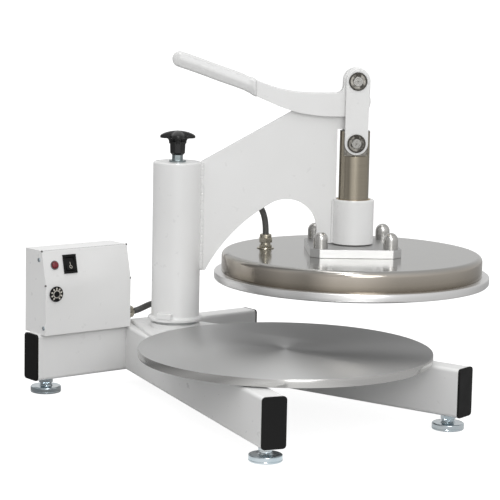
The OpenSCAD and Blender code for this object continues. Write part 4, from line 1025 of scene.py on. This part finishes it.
pin_piece("crank_pin_ends", "links", 516.5, 16.5)
keeper_piece("crank_pin_keepers", "links")
pin_piece("ram_pin", "ram", 414.9, 0)
keeper_piece("ram_pin_keepers", "ram")
coat(bright_pin, "fulcrum_pin", "crank_pin")

# Ram: a ground and nickel plated steel bar with two flats for the links, that
# slides in the collar and carries the mount plate on a spigot.
ram_bar = softened("ram", "ram", ground_nickel, "ram_steel", 0.7)
# Painted shade: the flats beside the links get a dark copy of the steel for the links' shadow on them.
flat_link_shade = pin_finish("flat_link_shade", 260, (0.115, 0.109, 0.098), (0.18, 0.172, 0.156))
ram_bar.data.materials.append(flat_link_shade)
flat_half = 16.1 * MM
flat_foot = 394 * MM
for face in ram_bar.data.polygons:
    if abs((off_arm @ face.center).y) < flat_half and face.center.z > flat_foot:
        face.material_index = 1


# Mount plate and dome nuts: a milled square aluminium plate with cut corners, its sides painted lighter and
# its top painted darker, and four tall stainless dome nuts that clamp the heated platen.
def milled_finish():
    made, tree, shader, place = start_finish("milled_aluminium_facing_shade", metallic=1.0)
    lines = grain(tree, stretched(tree, place, (40, 40, 900)), 1.0, 2)
    # Painted light and shade: faces that look sideways are painted lighter and faces that look up darker,
    # by the height of the normal.
    facing = tree.nodes.new("ShaderNodeNewGeometry")
    facing_up = tree.nodes.new("ShaderNodeSeparateXYZ")
    tree.links.new(facing.outputs["Normal"], facing_up.inputs[0])
    lines_and_facing_shade = tree.nodes.new("ShaderNodeMath")
    lines_and_facing_shade.operation = "MULTIPLY_ADD"
    lines_and_facing_shade.inputs[1].default_value = 0.12
    tree.links.new(lines, lines_and_facing_shade.inputs[0])
    tree.links.new(facing_up.outputs["Z"], lines_and_facing_shade.inputs[2])
    tint(tree, shader, lines_and_facing_shade.outputs[0], (0.0, (0.66, 0.66, 0.655)), (0.9, (0.46, 0.46, 0.458)))
    gloss(tree, shader, lines, 0.36, 0.44)
    return made


softened("mount_plate", "ram", milled_finish(), "platen_metal", 0.8)


def brushed_finish():
    made, tree, shader, place = start_finish("brushed_stainless", metallic=1.0)
    lines = grain(tree, stretched(tree, place, (40, 40, 1100)), 1.0, 2)
    tint(tree, shader, lines, (0.3, (0.495, 0.487, 0.469)), (0.7, (0.59, 0.581, 0.562)))
    gloss(tree, shader, lines, 0.20, 0.27)
    return made


brushed_stainless = brushed_finish()
coat(brushed_stainless, "dome_nuts")
coat(blue_zinc, "platen_spacers")

# Heated platen: a cast aluminium disc with a turned lip and a grey release coat
# below, the heater rod on its back, and a spun stainless cover over both.
ram_axis = on_ram.to_translation()
lip = bmesh.new()
spun(
    lip,
    [
        (0, 184.4), (225.4, 184.4), (226.4, 184.7), (228.3, 186.6), (228.6, 187.4),
        (228.6, 196.8), (228.2, 197.6), (227.4, 198.2), (226.6, 198.4), (0, 198.4),
    ],
    256,
)
bmesh.ops.transform(lip, matrix=on_ram, verts=lip.verts)
tidy_form(lip)
bright_platen = turned_finish(
    "lathe_turned_platen", ram_axis,
    ((0.3, (0.78, 0.775, 0.77)), (0.7, (0.86, 0.855, 0.85))), 0.28, 0.36, 0.4,
)
platen_disc = form_piece("platen_disc", lip, "ram", bright_platen, "platen_metal", "platen", even=False)


def release_finish():
    made, tree, shader, place = start_finish("grey_release_coat")
    fine = grain(tree, place, 320, 3)
    tint(tree, shader, fine, (0.3, (0.30, 0.30, 0.30)), (0.7, (0.36, 0.36, 0.36)))
    gloss(tree, shader, fine, 0.42, 0.55)
    return made


platen_disc.data.materials.append(release_finish())
for face in platen_disc.data.polygons:
    if face.normal.z < -0.9:
        face.material_index = 1


cover_foot = 0.1990
cover_top = 0.2317


def cover_finish():
    """Brushed across, with a painted dark reflection band: the cover's side is painted darker and browner
    towards its foot.
    """
    made, tree, shader, place = start_finish("spun_stainless", metallic=1.0)
    lines = grain(tree, stretched(tree, place, (18, 520, 520)), 1.0, 2)
    height = tree.nodes.new("ShaderNodeSeparateXYZ")
    tree.links.new(place, height.inputs[0])
    reflection_band_height = tree.nodes.new("ShaderNodeMapRange")
    reflection_band_height.inputs["From Min"].default_value = cover_foot
    reflection_band_height.inputs["From Max"].default_value = cover_top
    reflection_band_height.inputs["To Min"].default_value = -0.04
    reflection_band_height.inputs["To Max"].default_value = 0.96
    tree.links.new(height.outputs["Z"], reflection_band_height.inputs["Value"])
    blend = tree.nodes.new("ShaderNodeMath")
    blend.operation = "MULTIPLY_ADD"
    blend.inputs[1].default_value = 0.08
    tree.links.new(lines, blend.inputs[0])
    tree.links.new(reflection_band_height.outputs[0], blend.inputs[2])
    tint(
        tree, shader, blend.outputs[0],
        (0.0, (0.20, 0.172, 0.138)), (0.30, (0.36, 0.322, 0.272)),
        (0.80, (0.47, 0.43, 0.38)), (1.0, (0.46, 0.456, 0.44)),
    )
    gloss(tree, shader, lines, 0.13, 0.19)
    return made


coat(cover_finish(), "platen_cover")


def heater_finish():
    made, tree, shader, place = start_finish("heater_sheath", metallic=1.0)
    cloud = grain(tree, place, 180, 4)
    tint(tree, shader, cloud, (0.3, (0.13, 0.11, 0.10)), (0.7, (0.24, 0.21, 0.19)))
    gloss(tree, shader, cloud, 0.45, 0.6)
    return made


coat(heater_finish(), "heater_element")
